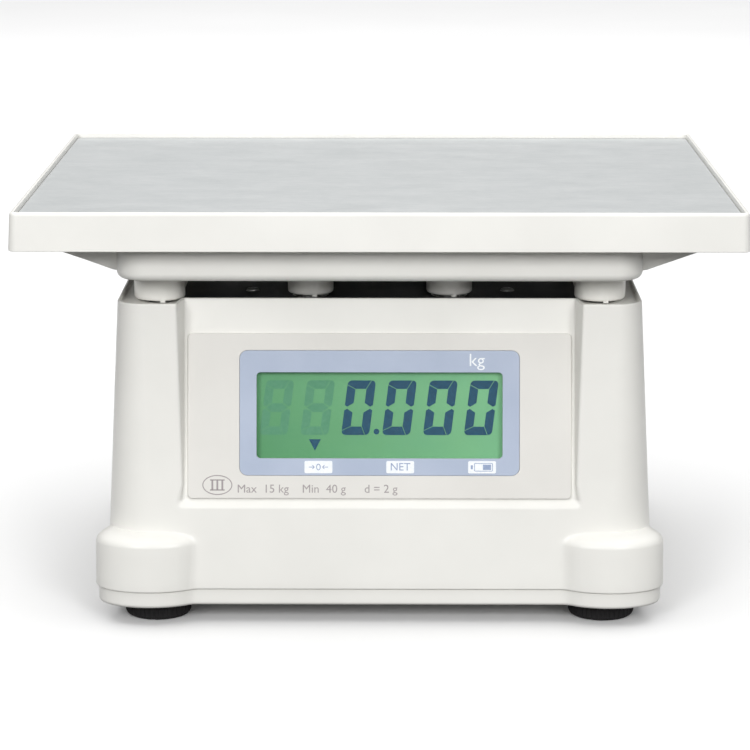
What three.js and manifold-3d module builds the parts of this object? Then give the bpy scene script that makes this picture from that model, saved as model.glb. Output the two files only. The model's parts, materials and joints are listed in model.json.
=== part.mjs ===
// A counter-top bench scale with a raised platter, in millimetres.
// +X is right and -Y is towards the customer, who reads the front display. +Z is up.
// The origin is the middle of the footprint, on the surface that the feet stand on.
import * as THREE from "three";
import { mergeVertices } from "three/addons/utils/BufferGeometryUtils.js";
import Module from "manifold-3d";

const wasm = await Module();
wasm.setup();

// ---------------------------------------------------------------- driving dimensions

const GAP = 0.3; // kept between pieces that touch on the real scale
const CUT = 1; // how far a cutting shape runs past the face that it opens
const LOW_CUT = 30; // the top of a cut that opens the parts in the foot of the case
const HIGH_CUT = 200; // the top of a cut through the weighing parts
const PANEL_CUT = 9; // how far a cut runs in front of and behind a panel's face

const PLATTER = {
  halfX: 150, halfY: 124.2, flare: 0.8, bottom: 162, top: 178, corner: 3,
  rim: 2, sheetDrop: 2, floor: 2.5, sheet: 1,
};

const TRAY = {
  halfX: 109, halfY: 110.2, corner: 12, bottom: 147, rim: 171.9, skin: 2.5,
  wingX: 146, wingHalfY: 94.2, wingDrop: 13,
};

// Posts under the support tray. The outer ones stand on the case's corner columns.
const OUTER_POST = { x: 92.8, y: 79.2, radius: 10.75 };
const INNER_POST = { x: 29.5, y: 66.6, radius: 9.75 };
const POST = { bottom: 135, pinHole: 5.1, roof: 146, tabWidth: 2.2, tabDrop: 0.6, tabSide: 1.9 };
const PIN = { radius: 4.5, shank: 3, bottom: 99, top: 145.4 };

// The case narrows from its seam to its rim. Its walls are straight in between.
const CASE = {
  floor: 8, seam: 15, rim: 136, halfX: 109.7, halfY: 100.5,
  draftX: 0.0531, draftY: 0.064, corner: 11, cornerGrowth: 0.08,
  wall: 2.5, rimWidth: 1.2, rimHeight: 2.2,
};
const PAD = { x: 96.8, y: 98, halfX: 23.5, halfY: 16.5, shoulder: 34, top: 39.5 };

// The recess that holds a display panel. Its back leans away from the reader.
const LEAN = THREE.MathUtils.degToRad(11.5);
const RECESS = { y: 87, halfX: 82, sideDraft: 0.176, bottom: 53, ledge: 3, ledgeDepth: 2.1, mouth: 110.2 };
const PANEL = { width: 161, height: 69.6, corner: 2, middle: 87.6, proud: 1.2, plug: 1.5, plugInset: 3.2 };
const CUSTOMER_BEZEL = { width: 117.5, height: 52.6, corner: 3.4, up: 1.25 };
const CUSTOMER_SIGHT = { width: 103.2, height: 36.1, corner: 1.7, up: 0.25 };
const OPERATOR_BEZEL = { width: 117.5, height: 42, corner: 3.4, up: 8 };
const OPERATOR_SIGHT = { width: 103.2, height: 30, corner: 1.7, up: 7 };
const BEZEL = { film: 0.5, pocket: 0.8 };
const WINDOW = { margin: 2.4, thickness: 1, front: -1.8 };
const LCD = { margin: 3.5, thickness: 2.4, front: -3.1 };
const BOARD = { width: 140, height: 50, thickness: 1.6, front: -6 };
const KEY = {
  width: 24, height: 9.5, pitch: 30, up: -24.5, corner: 2, proud: 2.2, lip: 1.2,
  lipBack: -3.3, lipFront: -1.9, side: 0.4, switchTop: -4.7,
};
const KEY_NAMES = ["key_zero", "key_tare", "key_net", "key_print"];

const FOOT = { x: 94.6, y: 90.1, radius: 14, height: 7.7, stud: 4, studTop: 32, socket: 3 };

const PLATE = { halfX: 104, halfY: 87, bottom: 11.6, thickness: 2.5, ear: 11 };
const CELL = { halfX: 65, halfY: 15, bottom: 60, height: 22, boltInset: [8, 22], block: 30 };
const BOLT = { shank: 3, head: 5, headHeight: 4, hole: 3.4, plate: 2 };
const SPIDER = { bottom: 96, top: 107, hubX: 62, hubY: 22, armWidth: 12, eye: 6.2 };

const MAIN_BOARD = { halfX: 60, halfY: 61, bottom: 117.6, thickness: 1.6 };
const DECK_SCREW = { x: 54.6, y: 57.5, head: 2.8, headHeight: 1.1, shank: 1.5, tip: 115.6, boss: 4 };
const CASE_SCREW = { x: 60, y: 96.2, head: 3, headHeight: 2, shank: 1.5, tip: 34, boss: 9 };

const BATTERY = { halfX: 50, halfY: 23.5, height: 70, y: -46.5, corner: 3 };
const HATCH = { margin: 6, plate: 2, plug: 0.6, clear: 0.3, screwY: -17.6 };
const HATCH_SCREW = { head: 2.5, headHeight: 0.8, shank: 1.25, tip: 13.5, boss: 3.6 };
const LEVEL = { y: 62, radius: 8, height: 8, lens: 5.8, flange: 9.5 };
const SIDE = { z: 28, floorX: 114.1, halfY: 34, halfZ: 9.5, y: 40 };
const SWITCH = { y: 26, halfY: 10.5, halfZ: 7.5, flange: 1.6, depth: 16, tilt: THREE.MathUtils.degToRad(7) };
const INLET = { y: 58, flange: 6.5, barrel: 5, bore: 3.15, pin: 1, depth: 14 };

// ---------------------------------------------------------------- materials

const paint = (color, roughness, metalness = 0) =>
  new THREE.MeshStandardMaterial({ color, roughness, metalness });
const MATERIAL = {
  ivory: paint(0xefeee9, 0.45),
  panel: paint(0xe4e2dc, 0.5),
  bezel: paint(0xb4bfd4, 0.5),
  clear: paint(0xdfe8e4, 0.05),
  display: paint(0x86b896, 0.3),
  steelSheet: paint(0xccd2d4, 0.35, 1),
  steel: paint(0xb8babd, 0.4, 1),
  cast: paint(0xa9abad, 0.6, 1),
  board: paint(0x1f6b3a, 0.6),
  rubber: paint(0x1c1b1d, 0.9),
  darkPlastic: paint(0x2b2b2d, 0.5),
  key: paint(0x8f98a6, 0.5),
  wire: paint(0x303234, 0.6),
};

// ---------------------------------------------------------------- geometry helpers

const ARC_STEPS = 4; // segments in a quarter circle of an outline

// Points of a rounded rectangle, counter-clockwise seen from above.
function roundedOutline(halfX, halfY, radius, x = 0, y = 0) {
  const corners = [[1, 1], [-1, 1], [-1, -1], [1, -1]];
  return corners.flatMap(([sideX, sideY], quarter) =>
    Array.from({ length: ARC_STEPS + 1 }, (_, step) => {
      const angle = ((quarter + step / ARC_STEPS) * Math.PI) / 2;
      return [
        x + sideX * (halfX - radius) + radius * Math.cos(angle),
        y + sideY * (halfY - radius) + radius * Math.sin(angle),
      ];
    }),
  );
}

function ellipseOutline(halfX, halfY, x = 0, y = 0, count = 20) {
  return Array.from({ length: count }, (_, step) => {
    const angle = (2 * Math.PI * step) / count;
    return [x + halfX * Math.cos(angle), y + halfY * Math.sin(angle)];
  });
}

const at = (outline, z) => outline.map(([x, y]) => [x, y, z]);
const roundedRing = (halfX, halfY, radius, z, x, y) => at(roundedOutline(halfX, halfY, radius, x, y), z);

// A closed body through rings of points, from the lowest ring to the highest.
function loft(rings) {
  const count = rings[0].length;
  const index = [];
  rings.slice(1).forEach((_, level) => {
    for (let i = 0; i < count; i++) {
      const next = (i + 1) % count;
      const [a, b] = [level * count + i, level * count + next];
      const [c, d] = [b + count, a + count];
      index.push(a, b, c, a, c, d);
    }
  });
  const last = (rings.length - 1) * count;
  for (let i = 1; i < count - 1; i++) {
    index.push(0, i + 1, i, last, last + i, last + i + 1);
  }
  const geometry = new THREE.BufferGeometry();
  geometry.setAttribute("position", new THREE.Float32BufferAttribute(rings.flat(2), 3));
  geometry.setIndex(index);
  return geometry;
}

// A box by its middle in plan and its lowest and highest z.
function box(width, depth, bottom, top, x = 0, y = 0) {
  return new THREE.BoxGeometry(width, depth, top - bottom).translate(x, y, (bottom + top) / 2);
}

function cylinder(radius, bottom, top, x = 0, y = 0, segments = 12) {
  return new THREE.CylinderGeometry(radius, radius, top - bottom, segments)
    .rotateX(Math.PI / 2)
    .translate(x, y, (bottom + top) / 2);
}

// A turned body about +Z from [radius, z] points that start and end on the axis, going up.
function turned(points, segments = 20) {
  const profile = points.map(([radius, z]) => new THREE.Vector2(radius, z));
  return new THREE.LatheGeometry(profile, segments).rotateX(Math.PI / 2);
}

function roundedPlate(width, height, corner, back, front, up = 0, across = 0) {
  return loft([
    roundedRing(width / 2, height / 2, corner, back, across, up),
    roundedRing(width / 2, height / 2, corner, front, across, up),
  ]);
}

// A round cable along a smooth curve through the points.
function cable(points, radius) {
  const curve = new THREE.CatmullRomCurve3(points.map((p) => new THREE.Vector3(...p)));
  const section = new THREE.Shape().absarc(0, 0, radius, 0, 2 * Math.PI);
  return new THREE.ExtrudeGeometry(section, { steps: 10, curveSegments: 6, extrudePath: curve });
}

function solid(geometry) {
  const bare = geometry.clone();
  bare.deleteAttribute("normal");
  bare.deleteAttribute("uv");
  const merged = mergeVertices(bare, 1e-4);
  return new wasm.Manifold(
    new wasm.Mesh({
      numProp: 3,
      vertProperties: merged.attributes.position.array,
      triVerts: new Uint32Array(merged.index.array),
    }),
  );
}

function geometryOf(manifold) {
  const mesh = manifold.getMesh();
  const geometry = new THREE.BufferGeometry();
  geometry.setAttribute("position", new THREE.BufferAttribute(mesh.vertProperties, 3));
  geometry.setIndex(new THREE.BufferAttribute(mesh.triVerts, 1));
  return geometry;
}

// Joins the first list of geometries, then takes away the second.
function shape(added, removed = []) {
  const whole = added.map(solid).reduce((a, b) => a.add(b));
  return geometryOf(removed.map(solid).reduce((a, b) => a.subtract(b), whole));
}

const FRONT_BACK = [["front", -1], ["back", 1]];
const LEFT_RIGHT = [["left", -1], ["right", 1]];

// Calls make(name, x side, y side) for the four corners.
function corners(make) {
  return FRONT_BACK.flatMap(([end, sideY]) =>
    LEFT_RIGHT.map(([hand, sideX]) => make(`${end}_${hand}`, sideX, sideY)),
  );
}

const scale = new THREE.Group();
scale.name = "bench_scale";

function place(name, geometry, material, parent = scale) {
  geometry.computeVertexNormals();
  const mesh = new THREE.Mesh(geometry, material);
  mesh.name = name;
  parent.add(mesh);
  return mesh;
}

// ---------------------------------------------------------------- case

// The case's outline at height z, drawn in by inset.
function caseRing(z, inset = 0) {
  const down = CASE.rim - z;
  return roundedRing(
    CASE.halfX + down * CASE.draftX - inset,
    CASE.halfY + down * CASE.draftY - inset,
    CASE.corner + down * CASE.cornerGrowth - inset,
    z,
  );
}

function padRing(sideX, sideY, z, inset = 0) {
  return at(ellipseOutline(PAD.halfX - inset, PAD.halfY - inset, sideX * PAD.x, sideY * PAD.y), z);
}

const recessBack = (z) => RECESS.y + (CASE.rim - z) * Math.tan(LEAN);

// The space of a display recess, grown inwards by the wall where that is given.
// It is widest at its mouth, and its foot slopes down and out over the ledge.
function recess(side, wall = 0) {
  const top = CASE.rim + 4;
  const bottom = RECESS.bottom - wall;
  const slope = RECESS.ledge / RECESS.ledgeDepth;
  const half = RECESS.halfX + wall;
  const ring = (backZ, mouthZ) => {
    const back = wall - recessBack(backZ);
    const mouthHalf = half + (back + RECESS.mouth) * RECESS.sideDraft;
    return [
      [-mouthHalf, -RECESS.mouth, mouthZ],
      [mouthHalf, -RECESS.mouth, mouthZ],
      [half, back, backZ],
      [-half, back, backZ],
    ];
  };
  const foot = bottom - slope * (RECESS.mouth + wall - recessBack(bottom));
  return loft([ring(bottom, foot), ring(top, top)]).rotateZ(side > 0 ? Math.PI : 0);
}

// The opening behind a display panel, square to the leaning face.
function panelOpening(side) {
  const opening = roundedPlate(
    PANEL.width - 2 * PANEL.plugInset + 2 * GAP,
    PANEL.height - 2 * PANEL.plugInset + 2 * GAP,
    PANEL.corner,
    -8,
    CUT,
  );
  return opening.applyMatrix4(panelFrame(side));
}

// A panel's own frame: x to the reader's right, y up its face, z out of the face.
function panelFrame(side) {
  const lean = new THREE.Matrix4().makeRotationX(Math.PI / 2 - LEAN);
  lean.setPosition(0, -recessBack(PANEL.middle), PANEL.middle);
  return new THREE.Matrix4().makeRotationZ(side > 0 ? Math.PI : 0).multiply(lean);
}

function upperCase() {
  const sides = [-1, 1];
  const bottom = CASE.seam + GAP;
  const deck = CASE.rim - CASE.rimHeight;
  const shell = shape(
    [
      loft([caseRing(bottom), caseRing(CASE.rim - 0.6), caseRing(CASE.rim, 0.4)]),
      ...corners((_, sideX, sideY) =>
        loft([
          padRing(sideX, sideY, bottom),
          padRing(sideX, sideY, PAD.shoulder, 0.3),
          padRing(sideX, sideY, PAD.top - 2, 2.2),
          padRing(sideX, sideY, PAD.top, 6),
        ]),
      ),
    ],
    sides.map((side) => recess(side)),
  );
  const hollow = shape(
    [
      loft([caseRing(bottom - CUT, CASE.wall), caseRing(deck - CASE.wall, CASE.wall)]),
      ...corners((_, sideX, sideY) =>
        loft([
          padRing(sideX, sideY, bottom - CUT, CASE.wall),
          padRing(sideX, sideY, PAD.shoulder - CASE.wall, CASE.wall),
        ]),
      ),
    ],
    sides.map((side) => recess(side, CASE.wall)),
  );
  const deckPocket = shape(
    [loft([caseRing(deck, CASE.rimWidth), caseRing(CASE.rim + CUT, CASE.rimWidth)])],
    sides.map((side) => recess(side, CASE.rimWidth)),
  );
  const pillars = corners((_, sideX, sideY) =>
    box(CASE_SCREW.boss, 14, bottom, CASE_SCREW.tip + 3, sideX * CASE_SCREW.x, sideY * (CASE_SCREW.y + 3)),
  );
  return shape(
    [shape([shell], [hollow, deckPocket]), ...pillars],
    [
      ...sides.map(panelOpening),
      ...postPlaces().map(([, x, y]) => cylinder(POST.pinHole + 1.6, deck - 4, CASE.rim, x, y, 10)),
      ...corners((_, sideX, sideY) =>
        cylinder(DECK_SCREW.shank + GAP, deck - 4, CASE.rim, sideX * DECK_SCREW.x, sideY * DECK_SCREW.y, 6),
      ),
      ...corners((_, sideX, sideY) =>
        cylinder(CASE_SCREW.shank + GAP, bottom - CUT, CASE_SCREW.tip + GAP,
          sideX * CASE_SCREW.x, sideY * CASE_SCREW.y, 8),
      ),
      cylinder(LEVEL.radius + GAP, deck - 4, CASE.rim, 0, LEVEL.y, 16),
      sidePocket(),
      box(40, 2 * SWITCH.halfY - 1.4, SIDE.z - SWITCH.halfZ + 0.7, SIDE.z + SWITCH.halfZ - 0.7, 110, SWITCH.y),
      sideCylinder(INLET.barrel + GAP, 90, 130, INLET.y),
    ],
  );
}

// A shallow upright field in the right wall for the switch and the inlet.
function sidePocket() {
  return box(20, 2 * SIDE.halfY, SIDE.z - SIDE.halfZ, SIDE.z + SIDE.halfZ, SIDE.floorX + 10, SIDE.y);
}

// A cylinder along +X at the height of the side field.
function sideCylinder(radius, from, to, y, segments = 16) {
  return new THREE.CylinderGeometry(radius, radius, to - from, segments)
    .rotateZ(-Math.PI / 2)
    .translate((from + to) / 2, y, SIDE.z);
}

const FLOOR_TOP = CASE.floor + 3.2;
const LOWER_LIP = 1.2; // how far the lower case sits in from the seam line
const SCREW_PAD = 5; // radius of the lower case's pad round a case screw
const HATCH_HALF = { x: BATTERY.halfX + 2, y: BATTERY.halfY + 2 };

function lowerCase() {
  const lip = LOWER_LIP;
  const inside = LOWER_LIP + CASE.wall;
  const outer = [
    loft([caseRing(CASE.floor, lip + 1.6), caseRing(CASE.floor + 1.6, lip), caseRing(CASE.seam, lip)]),
    ...corners((_, sideX, sideY) =>
      loft([
        padRing(sideX, sideY, CASE.floor, lip + 1.8),
        padRing(sideX, sideY, CASE.floor + 1.8, lip),
        padRing(sideX, sideY, CASE.seam, lip),
      ]),
    ),
  ];
  const inner = [
    loft([caseRing(FLOOR_TOP, inside), caseRing(CASE.seam + CUT, inside)]),
    ...corners((_, sideX, sideY) =>
      loft([padRing(sideX, sideY, FLOOR_TOP, inside), padRing(sideX, sideY, CASE.seam + CUT, inside)]),
    ),
  ];
  const screwPads = corners((_, sideX, sideY) =>
    cylinder(SCREW_PAD, CASE.floor + 2, CASE.seam, sideX * CASE_SCREW.x, sideY * CASE_SCREW.y, 10),
  );
  const hatchBoss = cylinder(HATCH_SCREW.boss, CASE.floor + 2, HATCH_SCREW.tip + 0.8, 0, HATCH.screwY, 10);
  return shape(
    [shape(outer, inner), ...screwPads, hatchBoss],
    [
      ...corners((_, sideX, sideY) =>
        cylinder(FOOT.stud + 0.8, 0, LOW_CUT, sideX * FOOT.x, sideY * FOOT.y),
      ),
      ...corners((_, sideX, sideY) =>
        cylinder(CASE_SCREW.shank + GAP, 0, LOW_CUT, sideX * CASE_SCREW.x, sideY * CASE_SCREW.y, 8),
      ),
      ...corners((_, sideX, sideY) =>
        cylinder(CASE_SCREW.head + 0.5, 0, CASE.floor + 3.4, sideX * CASE_SCREW.x, sideY * CASE_SCREW.y, 10),
      ),
      box(2 * (HATCH_HALF.x + HATCH.margin), 2 * (HATCH_HALF.y + HATCH.margin),
        0, CASE.floor + HATCH.plate + GAP, 0, BATTERY.y),
      box(2 * HATCH_HALF.x, 2 * HATCH_HALF.y, 0, LOW_CUT, 0, BATTERY.y),
      cylinder(HATCH_SCREW.shank + GAP, 0, HATCH_SCREW.tip + GAP, 0, HATCH.screwY, 10),
    ],
  );
}

function batteryHatch() {
  const edge = HATCH.margin - HATCH.clear;
  return shape(
    [
      box(2 * (HATCH_HALF.x + edge), 2 * (HATCH_HALF.y + edge),
        CASE.floor, CASE.floor + HATCH.plate, 0, BATTERY.y),
      box(2 * (HATCH_HALF.x - HATCH.clear), 2 * (HATCH_HALF.y - HATCH.clear),
        CASE.floor + 1, CASE.floor + HATCH.plate + HATCH.plug, 0, BATTERY.y),
    ],
    [
      cylinder(HATCH_SCREW.shank + GAP, 0, LOW_CUT, 0, HATCH.screwY, 10),
      cylinder(HATCH_SCREW.head + GAP, 0, CASE.floor + HATCH_SCREW.headHeight + 2 * GAP, 0, HATCH.screwY, 10),
    ],
  );
}

// A screw that points up, with its head at the bottom.
function screwUp(size, bottom, segments = 8) {
  return turned(
    [
      [0, bottom],
      [size.head, bottom],
      [size.head, bottom + size.headHeight],
      [size.shank, bottom + size.headHeight],
      [size.shank, size.tip - 1],
      [0, size.tip],
    ],
    segments,
  );
}

// A screw that points down, with its domed head on top.
function screwDown(size, seat, segments = 8) {
  return turned(
    [
      [0, size.tip],
      [size.shank, size.tip + 1],
      [size.shank, seat],
      [size.head, seat],
      [size.head * 0.8, seat + size.headHeight * 0.8],
      [0, seat + size.headHeight],
    ],
    segments,
  );
}

function buildCase() {
  const deck = CASE.rim - CASE.rimHeight;
  place("lower_case", lowerCase(), MATERIAL.ivory);
  place("upper_case", upperCase(), MATERIAL.ivory);
  place("battery_hatch", batteryHatch(), MATERIAL.ivory);
  const hatchScrew = place("hatch_screw", screwUp(HATCH_SCREW, CASE.floor + GAP), MATERIAL.steel);
  hatchScrew.position.set(0, HATCH.screwY, 0);
  corners((corner, sideX, sideY) => {
    const caseScrew = place(`case_screw_${corner}`, screwUp(CASE_SCREW, CASE.floor + 1.1), MATERIAL.steel);
    caseScrew.position.set(sideX * CASE_SCREW.x, sideY * CASE_SCREW.y, 0);
    const deckScrew = place(`deck_screw_${corner}`, screwDown(DECK_SCREW, deck + GAP), MATERIAL.steel);
    deckScrew.position.set(sideX * DECK_SCREW.x, sideY * DECK_SCREW.y, 0);
  });
}

// ---------------------------------------------------------------- display panels

const opening = (sight, margin = 0) => [sight.width + 2 * margin, sight.height + 2 * margin];

function panelPlate(bezel, sight, keyHoles) {
  const pocket = PANEL.proud - BEZEL.pocket;
  return shape(
    [
      roundedPlate(PANEL.width, PANEL.height, PANEL.corner, GAP, PANEL.proud),
      roundedPlate(PANEL.width - 2 * PANEL.plugInset, PANEL.height - 2 * PANEL.plugInset,
        PANEL.corner, -PANEL.plug, GAP + 0.4),
    ],
    [
      roundedPlate(bezel.width, bezel.height, bezel.corner, pocket, PANEL.proud + CUT, bezel.up),
      roundedPlate(...opening(sight), sight.corner, -PANEL_CUT, PANEL_CUT, sight.up),
      ...keyHoles.map((x) =>
        roundedPlate(KEY.width + 2 * KEY.side, KEY.height + 2 * KEY.side, KEY.corner,
          -PANEL_CUT, PANEL_CUT, KEY.up, x),
      ),
    ],
  );
}

function bezelFilm(bezel, sight) {
  return shape(
    [roundedPlate(bezel.width - 2 * GAP, bezel.height - 2 * GAP, bezel.corner - GAP,
      PANEL.proud - BEZEL.film, PANEL.proud, bezel.up)],
    [roundedPlate(...opening(sight), sight.corner, -PANEL_CUT, PANEL_CUT, sight.up)],
  );
}

function behindSight(sight, size) {
  return roundedPlate(...opening(sight, size.margin), 1.5, size.front - size.thickness, size.front, sight.up);
}

// A display board, with the switch of each key standing on it.
function displayBoard(switches) {
  return shape([
    roundedPlate(BOARD.width, BOARD.height, 1, BOARD.front - BOARD.thickness, BOARD.front, -1),
    roundedPlate(16, 6, 0.5, BOARD.front - BOARD.thickness - 4, BOARD.front - 1, 17),
    ...switches.map((x) =>
      roundedPlate(6, 6, 0.5, BOARD.front - 0.5, KEY.switchTop, KEY.up + 1.5, x),
    ),
  ]);
}

function keyCap() {
  return shape([
    roundedPlate(KEY.width, KEY.height, KEY.corner, KEY.lipFront - 0.5, KEY.proud),
    roundedPlate(KEY.width + 2 * KEY.lip, KEY.height + KEY.lip, KEY.corner, KEY.lipBack, KEY.lipFront),
  ]);
}

function displayFace(who, side, bezel, sight, keyNames) {
  const face = new THREE.Group();
  face.applyMatrix4(panelFrame(side));
  scale.add(face);
  const keyPlaces = keyNames.map((_, i) => (i - (keyNames.length - 1) / 2) * KEY.pitch);
  place(`${who}_panel`, panelPlate(bezel, sight, keyPlaces), MATERIAL.panel, face);
  place(`${who}_bezel`, bezelFilm(bezel, sight), MATERIAL.bezel, face);
  place(`${who}_window`, behindSight(sight, WINDOW), MATERIAL.clear, face);
  place(`${who}_lcd`, behindSight(sight, LCD), MATERIAL.display, face);
  place(`${who}_board`, displayBoard(keyPlaces), MATERIAL.board, face);
  keyNames.forEach((name, i) => {
    place(name, keyCap(), MATERIAL.key, face).position.set(keyPlaces[i], KEY.up, 0);
  });
}

// ---------------------------------------------------------------- weighing parts

// Name, x and y of each of the eight posts, with its radius.
function postPlaces() {
  return [["outer", OUTER_POST], ["inner", INNER_POST]].flatMap(([kind, post]) =>
    corners((corner, sideX, sideY) => [`${kind}_${corner}`, sideX * post.x, sideY * post.y, post.radius]),
  );
}

function chassisPlate() {
  const top = PLATE.bottom + PLATE.thickness;
  const holes = [
    ...corners((_, sideX, sideY) =>
      cylinder(FOOT.stud + GAP, 0, LOW_CUT, sideX * FOOT.x, sideY * FOOT.y),
    ),
    ...corners((_, sideX, sideY) =>
      cylinder(SCREW_PAD + 0.8, 0, LOW_CUT, sideX * CASE_SCREW.x, sideY * CASE_SCREW.y, 8),
    ),
    box(2 * HATCH_HALF.x, 2 * HATCH_HALF.y, 0, LOW_CUT, 0, BATTERY.y),
    cylinder(HATCH_SCREW.boss + 0.6, 0, LOW_CUT, 0, HATCH.screwY, 10),
  ];
  return shape(
    [
      loft([
        roundedRing(PLATE.halfX, PLATE.halfY, 6, PLATE.bottom),
        roundedRing(PLATE.halfX, PLATE.halfY, 6, top),
      ]),
      ...corners((_, sideX, sideY) =>
        cylinder(PLATE.ear, PLATE.bottom, top + 6, sideX * FOOT.x, sideY * FOOT.y),
      ),
    ],
    holes,
  );
}

// Single-point cell: a block with two joined round windows that let its free end sink.
function loadCell() {
  const middle = CELL.bottom + CELL.height / 2;
  const windowHole = (x) =>
    new THREE.CylinderGeometry(8, 8, 4 * CELL.halfY, 16).translate(x, 0, middle);
  return shape(
    [box(2 * CELL.halfX, 2 * CELL.halfY, CELL.bottom, CELL.bottom + CELL.height)],
    [
      windowHole(-14),
      windowHole(14),
      box(28, 4 * CELL.halfY, middle - 3, middle + 3),
      ...[-1, 1].flatMap((end) =>
        CELL.boltInset.map((inset) =>
          cylinder(BOLT.hole, 0, HIGH_CUT, end * (CELL.halfX - inset), 0, 12),
        ),
      ),
    ],
  );
}

function cellFootBlock() {
  const x = -CELL.halfX + CELL.block / 2;
  const bottom = PLATE.bottom + PLATE.thickness + GAP;
  return shape(
    [
      box(CELL.block, 2 * CELL.halfY, bottom, CELL.bottom - GAP, x),
      box(CELL.block + 24, 2 * CELL.halfY + 16, bottom, bottom + 6, x),
    ],
    CELL.boltInset.map((inset) =>
      cylinder(BOLT.hole, CELL.bottom - 22, CELL.bottom + CUT, -CELL.halfX + inset, 0, 12),
    ),
  );
}

// The two bolts of one end of the cell, joined by the clamp plate under their heads.
// They point down into the foot block, or up into the spider.
function cellBolts(end, tip, seat) {
  const away = Math.sign(seat - tip);
  const plate = [seat, seat + away * BOLT.plate];
  const head = [seat, seat + away * (BOLT.plate + BOLT.headHeight)];
  const span = (pair) => [Math.min(...pair), Math.max(...pair)];
  const middle = end * (CELL.halfX - CELL.block / 2);
  return shape([
    box(CELL.block - 2, 2 * CELL.halfY - 10, ...span(plate), middle),
    ...CELL.boltInset.flatMap((inset) => {
      const x = end * (CELL.halfX - inset);
      const shank = cylinder(BOLT.shank, ...span([tip, seat + away]), x, 0, 10);
      return [shank, cylinder(BOLT.head, ...span(head), x, 0, 6)];
    }),
  ]);
}

function spider() {
  const hubX = 10;
  const boss = CELL.halfX - CELL.block / 2;
  const arm = (x, y, width) => {
    const reach = Math.hypot(x, y);
    return new THREE.BoxGeometry(reach, width, SPIDER.top - SPIDER.bottom)
      .translate(reach / 2, 0, 0)
      .rotateZ(Math.atan2(y, x))
      .translate(0, 0, (SPIDER.top + SPIDER.bottom) / 2);
  };
  return shape(
    [
      box(2 * SPIDER.hubX, 2 * SPIDER.hubY, SPIDER.bottom, SPIDER.top, hubX),
      box(CELL.block, 2 * CELL.halfY, CELL.bottom + CELL.height + GAP, SPIDER.bottom + 1, boss),
      ...postPlaces().flatMap(([, x, y]) => [
        arm(x, y, SPIDER.armWidth),
        cylinder(SPIDER.eye, SPIDER.bottom, SPIDER.top, x, y, 10),
      ]),
    ],
    [
      ...postPlaces().map(([, x, y]) => cylinder(PIN.shank + 0.5, 0, HIGH_CUT, x, y, 8)),
      ...CELL.boltInset.map((inset) =>
        cylinder(BOLT.hole, CELL.bottom, CELL.bottom + CELL.height + 16, CELL.halfX - inset, 0, 12),
      ),
    ],
  );
}

function postPin() {
  return turned(
    [
      [0, PIN.bottom],
      [PIN.shank, PIN.bottom],
      [PIN.shank, SPIDER.top + GAP],
      [PIN.radius, SPIDER.top + GAP],
      [PIN.radius, PIN.top - 1],
      [PIN.radius - 1, PIN.top],
      [0, PIN.top],
    ],
    10,
  );
}

function buildWeighingParts() {
  const cellTop = CELL.bottom + CELL.height;
  place("chassis_plate", chassisPlate(), MATERIAL.steel);
  place("cell_foot_block", cellFootBlock(), MATERIAL.cast);
  place("load_cell", loadCell(), MATERIAL.cast);
  place("spider", spider(), MATERIAL.cast);
  place("cell_foot_bolts", cellBolts(-1, CELL.bottom - 20, cellTop + GAP), MATERIAL.steel);
  place("cell_head_bolts", cellBolts(1, cellTop + 15, CELL.bottom - GAP), MATERIAL.steel);
  postPlaces().forEach(([name, x, y]) => {
    place(`post_pin_${name}`, postPin(), MATERIAL.steel).position.set(x, y, 0);
  });
}

// ---------------------------------------------------------------- trays

function wing(side) {
  const drop = PLATTER.bottom - TRAY.wingDrop;
  const profile = (inset) => {
    const top = PLATTER.bottom + 4;
    const foot = TRAY.halfX + 1;
    return [
      [TRAY.halfX - 4 + 5 * inset / TRAY.skin, drop + inset],
      [foot, drop + inset],
      [TRAY.wingX - inset, PLATTER.bottom + inset],
      [TRAY.wingX - inset, top + inset],
      [TRAY.halfX - 4 + 5 * inset / TRAY.skin, top + inset],
    ];
  };
  const block = (inset) => {
    const halfY = TRAY.wingHalfY - inset;
    const ring = (y) => profile(inset).map(([x, z]) => [side * x, y, z]);
    const rings = [ring(-halfY), ring(halfY)];
    return loft(side > 0 ? rings.reverse() : rings);
  };
  return shape([block(0)], [block(TRAY.skin)]);
}

function supportTray() {
  const dish = shape(
    [
      loft([
        roundedRing(TRAY.halfX - 3, TRAY.halfY - 3, TRAY.corner - 3, TRAY.bottom),
        roundedRing(TRAY.halfX - 1, TRAY.halfY - 1, TRAY.corner - 1, TRAY.bottom + 1),
        roundedRing(TRAY.halfX, TRAY.halfY, TRAY.corner, TRAY.bottom + 3),
        roundedRing(TRAY.halfX, TRAY.halfY, TRAY.corner, TRAY.rim),
      ]),
    ],
    [
      loft([
        roundedRing(TRAY.halfX - TRAY.skin, TRAY.halfY - TRAY.skin, TRAY.corner - TRAY.skin,
          TRAY.bottom + TRAY.skin),
        roundedRing(TRAY.halfX - TRAY.skin, TRAY.halfY - TRAY.skin, TRAY.corner - TRAY.skin,
          TRAY.rim + CUT),
      ]),
    ],
  );
  const ribs = [
    box(2 * TRAY.halfX - 2, TRAY.skin, TRAY.bottom + 1, TRAY.rim),
    box(TRAY.skin, 2 * TRAY.halfY - 2, TRAY.bottom + 1, TRAY.rim),
  ];
  const posts = postPlaces().map(([, x, y, radius]) =>
    cylinder(radius, POST.bottom, TRAY.bottom + 2, x, y, 20),
  );
  const tabs = postPlaces().map(([, x, y, radius]) =>
    box(POST.tabWidth, 2, POST.bottom - POST.tabDrop, POST.bottom + 1,
      x + POST.tabSide, y + Math.sign(y) * (radius - 1.6)),
  );
  const sockets = postPlaces().map(([, x, y]) =>
    cylinder(POST.pinHole, POST.bottom - CUT, POST.roof, x, y, 10),
  );
  return shape([dish, ...ribs, wing(-1), wing(1), ...posts, ...tabs], sockets);
}

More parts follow.
